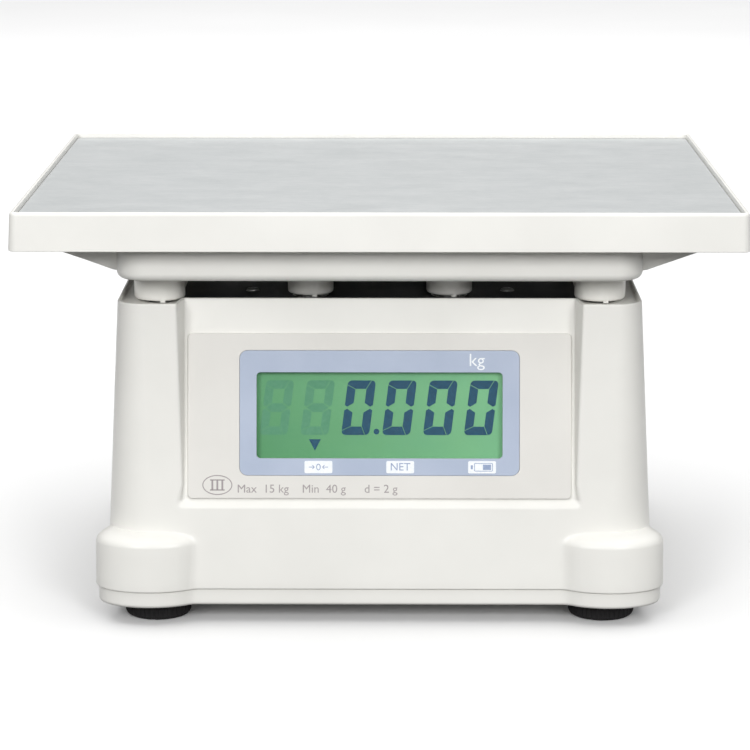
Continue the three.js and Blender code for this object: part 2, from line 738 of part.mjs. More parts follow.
function platterTray() {
  const { halfX, halfY, flare, bottom, top, corner, rim } = PLATTER;
  const seat = top - PLATTER.sheetDrop - PLATTER.sheet - GAP;
  const outer = [
    roundedRing(halfX + flare, halfY + flare, corner + flare, bottom),
    roundedRing(halfX, halfY, corner, top - 0.9),
    roundedRing(halfX - 0.3, halfY - 0.3, corner - 0.3, top - 0.3),
    roundedRing(halfX - 0.9, halfY - 0.9, corner - 0.9, top),
  ];
  const ring = (inset, z) => roundedRing(halfX - inset, halfY - inset, corner - 1.2, z);
  return shape(
    [loft(outer)],
    [
      loft([ring(rim, seat), ring(rim, top + CUT)]),
      loft([ring(1.8, bottom - CUT), ring(2.2, seat - PLATTER.floor)]),
    ],
  );
}

function steelPan() {
  const inset = PLATTER.rim + GAP;
  const surface = PLATTER.top - PLATTER.sheetDrop;
  const ring = (z) => roundedRing(PLATTER.halfX - inset, PLATTER.halfY - inset, PLATTER.corner - 1.4, z);
  return loft([ring(surface - PLATTER.sheet), ring(surface)]);
}

function buildTrays() {
  place("support_tray", supportTray(), MATERIAL.ivory);
  place("platter_tray", platterTray(), MATERIAL.ivory);
  place("steel_pan", steelPan(), MATERIAL.steelSheet);
}

// ---------------------------------------------------------------- feet

function footPad() {
  const { radius, height, stud, socket } = FOOT;
  return turned(
    [
      [0, 0],
      [radius - 1.6, 0],
      [radius - 0.4, 0.7],
      [radius, 1.8],
      [radius, height - 1.5],
      [radius - 1.4, height],
      [stud + GAP, height],
      [stud + GAP, socket],
      [0, socket],
    ],
    20,
  );
}

function footStud() {
  const bottom = FOOT.socket + GAP;
  return turned(
    [
      [0, bottom],
      [FOOT.stud, bottom],
      [FOOT.stud, FOOT.studTop - 1],
      [FOOT.stud - 1, FOOT.studTop],
      [0, FOOT.studTop],
    ],
    10,
  );
}

function buildFeet() {
  corners((corner, sideX, sideY) => {
    const foot = new THREE.Group();
    foot.position.set(sideX * FOOT.x, sideY * FOOT.y, 0);
    scale.add(foot);
    place(`foot_pad_${corner}`, footPad(), MATERIAL.rubber, foot);
    place(`foot_stud_${corner}`, footStud(), MATERIAL.steel, foot);
  });
}

// ---------------------------------------------------------------- electrical parts

// The board under the deck, with the standoffs that the deck screws turn into on top of it,
// and a transformer block, a processor and three plugs below it.
function mainBoard() {
  const { halfX, halfY, bottom, thickness } = MAIN_BOARD;
  const screws = corners((_, sideX, sideY) => [sideX * DECK_SCREW.x, sideY * DECK_SCREW.y]);
  const deckUnderside = CASE.rim - CASE.rimHeight - CASE.wall;
  return shape(
    [
      box(2 * halfX, 2 * halfY, bottom, bottom + thickness),
      ...screws.map(([x, y]) => cylinder(DECK_SCREW.boss, bottom + 0.5, deckUnderside - GAP, x, y, 8)),
      box(12, 6, bottom - 5, bottom + 0.5, 0, 34),
      box(12, 5, bottom - 4, bottom + 0.5, 0, -halfY + 3.5),
      box(12, 5, bottom - 4, bottom + 0.5, 0, halfY - 3.5),
      box(18, 18, bottom - 3, bottom + 0.5, -30, 5),
      box(14, 22, bottom - 6, bottom + 0.5, 34, -12),
    ],
    screws.map(([x, y]) => cylinder(DECK_SCREW.shank + GAP, bottom - CUT, CASE.rim, x, y, 8)),
  );
}

function battery() {
  const bottom = CASE.floor + HATCH.plate + HATCH.plug + GAP;
  const { halfX, halfY, corner, height } = BATTERY;
  return shape([
    loft([
      roundedRing(halfX, halfY, corner, bottom, 0, BATTERY.y),
      roundedRing(halfX, halfY, corner, bottom + height, 0, BATTERY.y),
    ]),
    box(6, 1.2, bottom + height - 1, bottom + height + 6, -38, BATTERY.y + 15),
    box(6, 1.2, bottom + height - 1, bottom + height + 6, 38, BATTERY.y + 15),
  ]);
}

function levelVial() {
  const top = CASE.rim - CASE.rimHeight;
  const bottom = top - LEVEL.height + GAP;
  return turned(
    [
      [0, bottom],
      [LEVEL.flange, bottom],
      [LEVEL.flange, top - CASE.wall - GAP],
      [LEVEL.radius, top - CASE.wall - GAP],
      [LEVEL.radius, top - 0.6],
      [LEVEL.lens, top - 0.6],
      [LEVEL.lens * 0.6, top - 0.1],
      [0, top],
    ],
    16,
  ).translate(0, LEVEL.y, 0);
}

// The rocker turns about an upright axis in the body's pit.
function switchBody() {
  const { y, halfY, halfZ, flange, depth } = SWITCH;
  const face = SIDE.floorX + GAP;
  return shape(
    [
      new THREE.BoxGeometry(flange, 2 * halfY, 2 * halfZ).translate(face + flange / 2, y, SIDE.z),
      new THREE.BoxGeometry(depth, 2 * halfY - 2, 2 * halfZ - 2).translate(face - depth / 2 + 0.5, y, SIDE.z),
    ],
    [new THREE.BoxGeometry(20, 2 * halfY - 4, 2 * halfZ - 4).translate(face + flange, y, SIDE.z)],
  );
}

// A seesaw with a shallow valley across its face, tipped to its off side.
function rocker() {
  const reach = SWITCH.halfY - 2.6;
  const halfZ = SWITCH.halfZ - 2.4;
  const outline = [[-3.2, -reach], [2.2, -reach], [1.2, 0], [2.2, reach], [-3.2, reach], [-5, 0]];
  const ring = (z) => outline.map(([x, y]) => [x, y, z]);
  return loft([ring(-halfZ), ring(halfZ)]).rotateZ(-SWITCH.tilt);
}

function dcInlet() {
  const face = SIDE.floorX + GAP;
  return shape(
    [
      sideCylinder(INLET.flange, face, face + 1.2, INLET.y, 12),
      sideCylinder(INLET.barrel, face - INLET.depth, face + 1, INLET.y, 12),
    ],
    [shape([sideCylinder(INLET.bore, face - 9, face + 5, INLET.y, 10)],
      [sideCylinder(INLET.pin, face - 12, face - 0.5, INLET.y, 6)])],
  );
}

// The cell's lead and the two display leads all run to plugs under the main board.
function leads() {
  const plug = MAIN_BOARD.bottom - 5 - GAP;
  const cellLead = [
    [0, CELL.halfY + GAP, 66],
    [0, 19, 66],
    [0, 27, 70],
    [0, 33, 84],
    [0, 34, 100],
    [0, 34, plug],
  ];
  place("cell_lead", cable(cellLead, 1.8), MATERIAL.wire);
  [["customer_lead", -1], ["operator_lead", 1]].forEach(([name, side]) => {
    const points = [
      [3.6, 107.6],
      [5.2, 107.6],
      [13.8, 107],
      [24.8, 108.5],
      [28.3, 111],
      [28.3, plug + 1],
    ].map(([inward, z]) => [0, side * (RECESS.y - inward), z]);
    place(name, cable(points, 1.5), MATERIAL.wire);
  });
}

function buildElectricalParts() {
  place("main_board", mainBoard(), MATERIAL.board);
  place("battery", battery(), MATERIAL.darkPlastic);
  place("level_vial", levelVial(), MATERIAL.clear);
  place("switch_body", switchBody(), MATERIAL.darkPlastic);
  const tipped = place("power_rocker", rocker(), MATERIAL.darkPlastic);
  tipped.position.set(SIDE.floorX + GAP + SWITCH.flange, SWITCH.y, SIDE.z);
  place("dc_inlet", dcInlet(), MATERIAL.darkPlastic);
  leads();
}

// ---------------------------------------------------------------- the whole scale

buildCase();
displayFace("customer", -1, CUSTOMER_BEZEL, CUSTOMER_SIGHT, []);
displayFace("operator", 1, OPERATOR_BEZEL, OPERATOR_SIGHT, KEY_NAMES);
buildWeighingParts();
buildTrays();
buildFeet();
buildElectricalParts();

export default scale;
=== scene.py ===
"""The finished look of the bench scale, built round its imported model.

-Y is the customer's side and +Z is up. Shapes are worked out in millimetres, and a mesh is made in metres.
"""
import json
import math

import bmesh
import bpy
from mathutils import Matrix, Vector


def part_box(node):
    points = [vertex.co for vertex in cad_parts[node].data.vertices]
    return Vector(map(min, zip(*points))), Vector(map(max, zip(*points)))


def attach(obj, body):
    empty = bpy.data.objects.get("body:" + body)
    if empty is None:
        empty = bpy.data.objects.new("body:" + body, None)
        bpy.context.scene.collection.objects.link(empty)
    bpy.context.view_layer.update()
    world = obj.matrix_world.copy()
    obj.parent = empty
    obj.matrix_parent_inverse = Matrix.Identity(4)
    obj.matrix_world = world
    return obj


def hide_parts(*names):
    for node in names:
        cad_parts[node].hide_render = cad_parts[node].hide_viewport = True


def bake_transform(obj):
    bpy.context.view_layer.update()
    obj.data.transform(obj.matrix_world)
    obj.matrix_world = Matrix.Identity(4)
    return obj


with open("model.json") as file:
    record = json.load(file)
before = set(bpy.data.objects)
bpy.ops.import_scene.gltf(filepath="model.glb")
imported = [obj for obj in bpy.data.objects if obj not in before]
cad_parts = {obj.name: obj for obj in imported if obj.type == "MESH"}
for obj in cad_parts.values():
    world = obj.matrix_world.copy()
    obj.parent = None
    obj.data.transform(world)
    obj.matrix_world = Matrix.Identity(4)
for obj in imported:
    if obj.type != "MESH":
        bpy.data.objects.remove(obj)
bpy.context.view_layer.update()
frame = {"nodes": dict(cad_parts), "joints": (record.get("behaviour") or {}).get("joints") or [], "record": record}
MM = 0.001
SIDES = (-1, 1)
CORNERS = {
    "front_left": (-1, -1), "front_right": (1, -1), "back_left": (-1, 1), "back_right": (1, 1),
}


# ---------------------------------------------------------------- sizes

def box_mm(node):
    """The lowest and highest corner of a CAD node, in millimetres."""
    low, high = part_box(node)
    return low / MM, high / MM


def middle_mm(node):
    """The middle of a CAD node, in millimetres."""
    low, high = box_mm(node)
    return (low + high) / 2


KEY_AXIS = next(joint["axis"] for joint in frame["joints"] if joint["name"] == "key_zero_press")
LEAN = math.atan2(-KEY_AXIS[2], -KEY_AXIS[1])

# The case, from its seam to its rim, and the recess for each display panel.
SEAM = box_mm("upper_case")[0].z
RIM = box_mm("upper_case")[1].z
CASE_DRAFT = (0.0531, 0.064)
CASE_CORNER = 11.0
CORNER_GROWTH = 0.08
WALL = 2.5
# Half width of the black sheet that paints the shade on the deck.
SHADE_SHEET_HALF_X = 84.0
RIM_WIDTH = 1.2
DECK = RIM - 2.2
RECESS_HALF = 82.0
RECESS_SIDE = math.atan2(1, 0.176)
RECESS_FILLET = 1.3
LEDGE = (50.0, 53.0)

# The flared pads at the case's lower corners.
PAD_HALF = (23.5, 16.5)
PAD_MIDDLE = (96.8, box_mm("upper_case")[1].y - PAD_HALF[1])
PAD_CENTRE = (PAD_MIDDLE[0] - 4.8, PAD_MIDDLE[1] - 4.8)
CASE_HALF = (PAD_MIDDLE[0] + 12.9, PAD_MIDDLE[1] + 2.5)
RECESS_DEPTH_Y = PAD_MIDDLE[1] - 11
PAD_SHOULDER = 34.0
PAD_TOP = 39.7
PAD_DRAFT = 0.3
PAD_BLEND = 2.2

FLOOR = box_mm("lower_case")[0].z
LOWER_TOP = box_mm("lower_case")[1].z
LOWER_INSET = 1.2
LOWER_FLOOR = 3.2

# The support tray under the platter.
DISH_HALF = (109.0, box_mm("support_tray")[1].y)
DISH_CORNER = 12.0
DISH_BOTTOM = 147.0
DISH_RIM = box_mm("support_tray")[1].z
POST_BOTTOM = 135.0
POST_RADIUS = {"outer": 10.75, "inner": 9.75}
SOCKET_RADIUS = 5.1
WING = {
    "reach": box_mm("support_tray")[1].x, "foot": 110.0, "low": 149.0, "bend": 162.0,
    "half_y": DISH_HALF[1] - 16,
}

# The two display panels, in a frame of their own: x right, y up and z out, towards the reader.
PANEL_HALF = (80.5, 34.8)
PANEL_PROUD = 1.2
PLUG_INSET = 3.2
LCD_MIDDLE = -4.3
LCD_FRONT = -3.1
DISPLAYS = {
    "customer": {"bezel": (58.75, 26.3, 1.25), "sight": (51.6, 18.05, 0.25), "keys": ()},
    "operator": {
        "bezel": (58.75, 21.0, 8.0), "sight": (51.6, 15.0, 7.0),
        "keys": ("key_zero", "key_tare", "key_net", "key_print"),
    },
}
KEY_HALF = (12.0, 4.75)
KEY_PROUD = 2.2
PRINT = 0.06  # thickness of printed marks


# ---------------------------------------------------------------- shape tools

def loft(rings, closed=False):
    """A body through rings of points, capped at both ends, or closed from the last ring to the first."""
    count = len(rings[0])
    points = [Vector(point) for ring in rings for point in ring]
    faces = []
    for level in range(len(rings) if closed else len(rings) - 1):
        low = level * count
        high = (level + 1) % len(rings) * count
        for i in range(count):
            j = (i + 1) % count
            faces.append((low + i, low + j, high + j, high + i))
    if not closed:
        faces.append(tuple(reversed(range(count))))
        faces.append(tuple(range(len(points) - count, len(points))))
    return points, faces


def joined(bodies):
    points = []
    faces = []
    for more_points, more_faces in bodies:
        start = len(points)
        points += more_points
        faces += [tuple(start + i for i in face) for face in more_faces]
    return points, faces


def moved(body, matrix):
    return [matrix @ point for point in body[0]], body[1]


def rounded(half_x, half_y, radius, z, x=0.0, y=0.0, steps=6):
    """A rounded rectangle, counter-clockwise seen from above."""
    ring = []
    for quarter, (side_x, side_y) in enumerate(((1, 1), (-1, 1), (-1, -1), (1, -1))):
        for step in range(steps + 1):
            angle = (quarter + step / steps) * math.pi / 2
            ring.append((
                x + side_x * (half_x - radius) + radius * math.cos(angle),
                y + side_y * (half_y - radius) + radius * math.sin(angle),
                z,
            ))
    return ring


def circle(radius, z, x=0.0, y=0.0, steps=32):
    turns = [2 * math.pi * step / steps for step in range(steps)]
    return [(x + radius * math.cos(turn), y + radius * math.sin(turn), z) for turn in turns]


def wall(ring_at, low, high, foot=0.0, top=0.0, steps=3):
    """Rings up a wall with a rounded foot and a rounded top. ring_at(inset, z) gives one ring."""
    turns = [step / steps * math.pi / 2 for step in range(steps + 1)]
    lower = [ring_at(foot * (1 - math.sin(turn)), low + foot * (1 - math.cos(turn))) for turn in turns]
    upper = [ring_at(top * (1 - math.cos(turn)), high - top * (1 - math.sin(turn))) for turn in turns]
    return (lower if foot else lower[-1:]) + (upper if top else upper[:1])


def slab(half_x, half_y, radius, low, high, edge=0.0, x=0.0, y=0.0):
    """A rounded plate with softened upper and lower edges."""
    def ring_at(inset, z):
        return rounded(half_x - inset, half_y - inset, max(radius - inset, 0.05), z, x, y)
    return loft(wall(ring_at, low, high, edge, edge))


def drum(radius, low, high, edge=0.0, x=0.0, y=0.0, steps=32):
    """An upright cylinder with softened edges."""
    def ring_at(inset, z):
        return circle(radius - inset, z, x, y, steps)
    return loft(wall(ring_at, low, high, edge, edge))


def turned(profile, x=0.0, y=0.0, steps=32):
    """A body of rings with the radii and heights of a profile that goes up."""
    return loft([circle(radius, z, x, y, steps) for radius, z in profile])


def plate(outline, low, high):
    """A flat body from an outline in a plane."""
    around = sum(a[0] * b[1] - b[0] * a[1] for a, b in zip(outline, outline[1:] + outline[:1]))
    ordered = outline if around > 0 else outline[::-1]
    return loft([[(*point, low) for point in ordered], [(*point, high) for point in ordered]])


def frame_plate(outer, inner, low, high):
    """A flat ring between two outlines with the same number of points."""
    def rise(outline, z):
        return [(*point, z) for point in outline]
    return loft([rise(inner, low), rise(outer, low), rise(outer, high), rise(inner, high)], closed=True)


def letters(text, size, x, y, low, high):
    """Words as thin bodies, centred on x and y."""
    curve = bpy.data.curves.new("letters", "FONT")
    curve.body = text
    curve.size = size
    curve.align_x = "CENTER"
    curve.align_y = "CENTER"
    curve.extrude = (high - low) / 2
    curve.resolution_u = 5
    obj = bpy.data.objects.new("letters", curve)
    bpy.context.scene.collection.objects.link(obj)
    mesh = bpy.data.meshes.new_from_object(obj.evaluated_get(bpy.context.evaluated_depsgraph_get()))
    whole = bmesh.new()
    whole.from_mesh(mesh)
    bmesh.ops.remove_doubles(whole, verts=whole.verts, dist=0.0005 * size)
    whole.verts.ensure_lookup_table()
    points = [vertex.co + Vector((x, y, (low + high) / 2)) for vertex in whole.verts]
    faces = [tuple(vertex.index for vertex in face.verts) for face in whole.faces]
    whole.free()
    bpy.data.objects.remove(obj)
    bpy.data.meshes.remove(mesh)
    return points, faces


def add_object(name, body):
    """A new object in the scene from points in millimetres and faces."""
    mesh = bpy.data.meshes.new(name)
    mesh.from_pydata([point * MM for point in body[0]], [], body[1])
    mesh.update()
    obj = bpy.data.objects.new(name, mesh)
    bpy.context.scene.collection.objects.link(obj)
    return obj


def bake(obj):
    """Turns the modifiers of obj into its mesh."""
    graph = bpy.context.evaluated_depsgraph_get()
    graph.update()
    mesh = bpy.data.meshes.new_from_object(obj.evaluated_get(graph))
    obj.modifiers.clear()
    obj.data = mesh


def combine(obj, bodies, operation):
    """Joins bodies to obj, or cuts them out of it."""
    for body in bodies:
        tool = add_object("tool", body)
        modifier = obj.modifiers.new("combine", "BOOLEAN")
        modifier.operation = operation
        modifier.solver = "EXACT"
        modifier.object = tool
        bake(obj)
        bpy.data.objects.remove(tool)


def piece(name, body, rides_on, slot, replaces=(), joins=(), cuts=(), sharp=38):
    """Makes one piece with the finish in slot, on the body rides_on, or on no body if rides_on is None."""
    obj = add_object(name, body)
    combine(obj, joins, "UNION")
    combine(obj, cuts, "DIFFERENCE")
    obj.data.shade_smooth()
    obj.data.set_sharp_from_angle(angle=math.radians(sharp))
    obj.modifiers.new("even normals", "WEIGHTED_NORMAL").keep_sharp = True
    obj.data.materials.append(LOOKS[slot])
    if rides_on:
        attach(obj, rides_on)
    if replaces:
        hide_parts(*replaces)
    return obj


def marks(name, bodies, matrix, rides_on, slot, look):
    """Printed marks: thin bodies in a panel's own frame, with an ink of their own."""
    obj = piece(name, moved(joined(bodies), matrix), rides_on, slot)
    obj.data.materials[0] = look
    return obj


# ---------------------------------------------------------------- material tools

def srgb(red, green, blue):
    """A screen colour from 0 to 255 as the linear colour that shaders use."""
    def linear(value):
        share = value / 255
        return share / 12.92 if share <= 0.04045 else ((share + 0.055) / 1.055) ** 2.4
    return (linear(red), linear(green), linear(blue), 1.0)


class Look:
    """A material and the few kinds of node that the looks below are made of."""

    def __init__(self, name, **sockets):
        self.material = bpy.data.materials.new(name)
        self.material.use_nodes = True
        self.tree = self.material.node_tree
        self.shader = self.tree.nodes["Principled BSDF"]
        for socket, value in sockets.items():
            self.shader.inputs[socket.replace("_", " ")].default_value = value

    def node(self, kind, inputs=None, **settings):
        made = self.tree.nodes.new(kind)
        for key, value in settings.items():
            setattr(made, key, value)
        for socket, value in (inputs or {}).items():
            if isinstance(value, bpy.types.NodeSocket):
                self.tree.links.new(value, made.inputs[socket])
            else:
                made.inputs[socket].default_value = value
        return made

    def place(self, scale=(1, 1, 1)):
        """Where a point is on the object, in metres, stretched by scale."""
        coordinates = self.node("ShaderNodeTexCoord").outputs["Object"]
        return self.node("ShaderNodeMapping", {"Vector": coordinates, "Scale": scale}).outputs["Vector"]

    def noise(self, size, detail=2.0, stretch=(1, 1, 1)):
        """Random clouds whose features are about size millimetres across."""
        inputs = {"Vector": self.place(stretch), "Scale": 1 / (size * MM), "Detail": detail}
        return self.node("ShaderNodeTexNoise", inputs).outputs["Fac"]

    def spread(self, value, low, high, start=0.3, end=0.7):
        inputs = {"Value": value, "From Min": start, "From Max": end, "To Min": low, "To Max": high}
        return self.node("ShaderNodeMapRange", inputs).outputs["Result"]

    def tint(self, value, dark, light, start=0.3, end=0.7):
        """A colour between dark and light, by a value that mostly lies between start and end."""
        ramp = self.node("ShaderNodeValToRGB", {"Fac": value})
        first, last = ramp.color_ramp.elements
        first.position = start
        last.position = end
        first.color = dark
        last.color = light
        return ramp.outputs["Color"]

    def add(self, first, second):
        """The sum of two values."""
        return self.node("ShaderNodeMath", {0: first, 1: second}, operation="ADD").outputs[0]

    def blend(self, share, first, second, kind="MIX"):
        mix = self.node("ShaderNodeMix", data_type="RGBA", blend_type=kind)
        for socket, value in zip((mix.inputs[0], mix.inputs[6], mix.inputs[7]), (share, first, second)):
            if isinstance(value, bpy.types.NodeSocket):
                self.tree.links.new(value, socket)
            else:
                socket.default_value = value
        return mix.outputs[2]

    def use(self, socket, value):
        self.tree.links.new(value, self.shader.inputs[socket])

    def bump(self, height, depth, strength=1.0):
        """Relief whose full height is depth millimetres."""
        inputs = {"Height": height, "Distance": depth * MM, "Strength": strength}
        self.use("Normal", self.node("ShaderNodeBump", inputs).outputs["Normal"])


# ---------------------------------------------------------------- materials

def moulded_plastic(name, dark, light, roughness, grain=0.45, relief=0.012):
    """Moulded plastic: slow shade changes, a fine spark-eroded grain and faint rubbed patches."""
    look = Look(name, IOR=1.5)
    look.use("Base Color", look.tint(look.noise(45, 3), dark, light))
    fine = look.noise(grain, 2)
    worn = look.noise(28, 4)
    rough = look.spread(worn, roughness - 0.05, roughness + 0.05)
    speck = look.spread(fine, -0.04, 0.04)
    look.use("Roughness", look.add(rough, speck))
    look.bump(fine, relief)
    return look.material


def printed_film():
    """The blue-grey film printed round a display."""
    look = Look("printed film", IOR=1.5)
    look.use("Base Color", look.tint(look.noise(22, 3), srgb(168, 180, 201), srgb(177, 188, 208)))
    fine = look.noise(0.35, 2)
    look.use("Roughness", look.spread(fine, 0.34, 0.46))
    look.bump(fine, 0.006)
    return look.material


def clear_cover():
    """Thin clear plastic that mostly lets the display through, with a faint sheen of handling."""
    look = Look("clear cover", IOR=1.3, Alpha=0.02)
    smear = look.noise(12, 4, (1, 2.5, 2.5))
    look.use("Base Color", look.tint(smear, srgb(214, 224, 218), srgb(236, 240, 238)))
    look.use("Roughness", look.spread(smear, 0.05, 0.16))
    return look.material


def lcd_glass():
    """Backlit green glass, brighter to the right and at the top, with a faint cloudy unevenness."""
    look = Look("lcd glass", Emission_Strength=0.2, Specular_IOR_Level=0.1, IOR=1.5)
    half, height = DISPLAYS["customer"]["sight"][:2]
    parts = look.node("ShaderNodeSeparateXYZ", {"Vector": look.place()}).outputs
    across = look.spread(parts["X"], 0.0, 0.72, -half * MM, half * MM)
    middle = middle_mm("customer_lcd").z
    upward = look.spread(parts["Z"], 0.0, 0.28, (middle - height) * MM, (middle + height) * MM)
    glow = look.tint(look.add(across, upward), srgb(74, 136, 90), srgb(120, 180, 134), 0.0, 1.0)
    cloud = look.tint(look.noise(14, 3), (0.93, 0.97, 0.99, 1), (1, 1, 0.97, 1))
    grain = look.tint(look.noise(0.5, 1), (0.95, 0.96, 0.95, 1), (1, 1, 1, 1))
    shade = look.blend(1.0, look.blend(1.0, glow, cloud, "MULTIPLY"), grain, "MULTIPLY")
    look.use("Base Color", shade)
    look.use("Emission Color", shade)
    look.use("Roughness", look.spread(look.noise(8, 2), 0.28, 0.4))
    return look.material


def ink(name, dark, light, roughness=0.5, size=1.2):
    """A printed or displayed mark, with the slight unevenness of its ink."""
    look = Look(name, Specular_IOR_Level=0.08)
    look.use("Base Color", look.tint(look.noise(size, 2), dark, light))
    look.use("Roughness", look.spread(look.noise(size * 3, 1), roughness - 0.06, roughness + 0.06))
    return look.material


def stainless_sheet():
    """A satin sheet with fine brushed lines from left to right and a soft cloudy mottling."""
    look = Look("stainless sheet", Metallic=1.0)
    cloud = look.noise(16, 5, (0.55, 1.3, 1))
    speckle = look.noise(2.4, 3, (0.5, 1, 1))
    lines = look.noise(0.7, 2, (0.03, 1, 1))
    base = look.tint(cloud, srgb(185, 188, 188), srgb(194, 196, 196))
    flecks = look.tint(speckle, (0.9, 0.91, 0.92, 1), (1, 1, 1, 1))
    look.use("Base Color", look.blend(0.7, base, flecks, "MULTIPLY"))
    rough = look.spread(cloud, 0.44, 0.47)
    streak = look.spread(lines, -0.02, 0.02)
    look.use("Roughness", look.add(rough, streak))
    look.bump(lines, 0.0015)
    return look.material


def metal(name, dark, light, roughness, size, relief, stretch=(1, 1, 1)):
    look = Look(name, Metallic=1.0)
    patches = look.noise(size, 4, stretch)
    fine = look.noise(size * 0.08, 2, stretch)
    look.use("Base Color", look.tint(patches, dark, light))
    look.use("Roughness", look.spread(patches, roughness - 0.08, roughness + 0.1))
    look.bump(fine, relief)
    return look.material


def circuit_board():
    """Green solder mask over straight copper tracks."""
    look = Look("circuit board", IOR=1.5)
    tracks = look.node("ShaderNodeTexBrick", {
        "Vector": look.place(), "Scale": 140.0, "Mortar Size": 0.06, "Color1": srgb(24, 92, 48),
        "Color2": srgb(28, 100, 54), "Mortar": srgb(64, 140, 78),
    })
    look.use("Base Color", look.blend(0.85, srgb(24, 96, 50), tracks.outputs["Color"]))
    look.use("Roughness", look.spread(look.noise(5, 2), 0.3, 0.45))
    look.bump(tracks.outputs["Fac"], 0.03)
    return look.material


def rubber():
    """Black rubber with a little dust."""
    look = Look("black rubber", Specular_IOR_Level=0.35)
    fine = look.noise(0.5, 3)
    dust = look.noise(7, 4)
    look.use("Base Color", look.tint(dust, srgb(13, 12, 13), srgb(30, 28, 29)))
    look.use("Roughness", look.spread(dust, 0.72, 0.9))
    look.bump(fine, 0.05)
    return look.material


def green_spirit():
    """The liquid of the spirit level."""
    look = Look("green spirit", IOR=1.4)
    look.use("Base Color", look.tint(look.noise(3, 2), srgb(150, 196, 58), srgb(190, 224, 96)))
    look.use("Roughness", look.spread(look.noise(4, 1), 0.05, 0.12))
    return look.material


LOOKS = {
    "ivory_plastic": moulded_plastic("ivory plastic", srgb(231, 230, 225), srgb(237, 236, 231), 0.36),
    "panel_plastic": moulded_plastic("panel plastic", srgb(217, 215, 210), srgb(224, 222, 217), 0.42),
    "bezel_print": printed_film(),
    "clear_cover": clear_cover(),
    "lcd_glass": lcd_glass(),
    "stainless_sheet": stainless_sheet(),
    "zinc_steel": metal("zinc-plated steel", srgb(176, 177, 178), srgb(214, 214, 212), 0.34, 9, 0.01),
    "cast_aluminium": metal("cast aluminium", srgb(158, 160, 162), srgb(196, 198, 200), 0.52, 6, 0.06),
    "circuit_board": circuit_board(),
    "rubber": rubber(),
    "black_plastic": moulded_plastic("black plastic", srgb(30, 30, 32), srgb(42, 42, 44), 0.44, 0.5, 0.02),
    "key_plastic": moulded_plastic("key plastic", srgb(120, 134, 160), srgb(132, 146, 171), 0.44),
    "cable": moulded_plastic("cable jacket", srgb(28, 29, 31), srgb(44, 45, 48), 0.5, 0.8, 0.03),
}
SEGMENT_INK = ink("display segments", srgb(10, 66, 94), srgb(20, 80, 108), 0.4)
GHOST_INK = ink("resting segments", srgb(80, 144, 108), srgb(90, 152, 118), 0.4)
WHITE_INK = ink("white print", srgb(238, 243, 248), srgb(250, 252, 253))
BLUE_INK = ink("blue print", srgb(146, 162, 192), srgb(160, 175, 204))
GREY_INK = ink("grey print", srgb(160, 153, 154), srgb(172, 165, 166), 0.55, 0.6)
SPIRIT = green_spirit()


# ---------------------------------------------------------------- case

def shaped_quarter(z, inset=0.0):
    """One quarter of the case's outline at height z, drawn in by inset, as points with x and y above 0.

    It starts in the middle of the recess, and goes round its side and the corner to the middle of a side.
    """
    down = RIM - z
    half_x = CASE_HALF[0] + down * CASE_DRAFT[0] - inset
    half_y = CASE_HALF[1] + down * CASE_DRAFT[1] - inset
    radius = CASE_CORNER + down * CORNER_GROWTH - inset
    share = (z + inset - LEDGE[0]) / (LEDGE[1] - LEDGE[0])
    share = min(max(share, 0.0), 1.0)
    depth = share * (half_y - (RECESS_DEPTH_Y + down * math.tan(LEAN) - inset))
    back = half_y - depth
    mouth = RECESS_HALF + inset
    fillet = RECESS_FILLET
    shortest = 2 * fillet + 0.3
    slope = math.asin(min(math.sin(RECESS_SIDE), depth / shortest))
    length = max(depth / math.sin(RECESS_SIDE), shortest)
    along = Vector((math.cos(slope), math.sin(slope)))
    inner = Vector((mouth, back))
    outer = inner + along * length
    right = Vector((1, 0))

    def bend(start, corner, end, steps=5):
        for step in range(steps + 1):
            t = step / steps
            yield start * (1 - t) ** 2 + corner * 2 * t * (1 - t) + end * t ** 2

    points = [Vector((share * (mouth - fillet), back)) for share in (0, 0.35, 0.6, 0.76, 0.84, 0.88)]
    points += [Vector((share * (mouth - fillet), back)) for share in (0.91, 0.93, 0.95, 0.965, 0.98)]
    points += bend(inner - right * fillet, inner, inner + along * fillet)
    points += bend(outer - along * fillet, outer, outer + right * fillet)
    corner = Vector((half_x - radius, half_y - radius))
    start = points[-1].x
    points += [Vector((start + (corner.x - start) * share, half_y)) for share in (0.3, 0.65)]
    for step in range(15):
        angle = math.pi / 2 * (1 - step / 14)
        points.append(corner + radius * Vector((math.cos(angle), math.sin(angle))))
    down_side = (0.03, 0.06, 0.1, 0.16, 0.25, 0.45, 0.7, 1)
    points += [Vector((half_x, corner.y * (1 - share))) for share in down_side]
    return [with_pad(point, z, inset) for point in points]


def with_pad(point, z, inset):
    """Moves a point of the outline out to the corner pad where the pad stands further out."""
    rise = (z + inset - PAD_SHOULDER) / (PAD_TOP - PAD_SHOULDER)
    if rise >= 1:
        return point
    shrink = inset + PAD_DRAFT * max(0.0, (z - SEAM) / (PAD_SHOULDER - SEAM))
    if rise > 0:
        shrink += 9.7 * (1 - math.sqrt(1 - rise * rise))
    centre = Vector(PAD_CENTRE)
    ray = point - centre
    reach = ray.length
    ray.normalize()
    # Where the ray leaves the pad's ellipse, from a quadratic in the distance along it.
    half = Vector((PAD_HALF[0] - shrink, PAD_HALF[1] - shrink))
    start = centre - Vector(PAD_MIDDLE)
    a = (ray.x / half.x) ** 2 + (ray.y / half.y) ** 2
    b = start.x * ray.x / half.x ** 2 + start.y * ray.y / half.y ** 2
    c = (start.x / half.x) ** 2 + (start.y / half.y) ** 2 - 1
    inside = b * b - a * c
    if inside <= 0:
        return point
    pad = (math.sqrt(inside) - b) / a
    gap = abs(pad - reach)
    soft = (PAD_BLEND - gap) ** 2 / (4 * PAD_BLEND) if gap < PAD_BLEND else 0.0
    return centre + ray * (max(pad, reach) + soft)


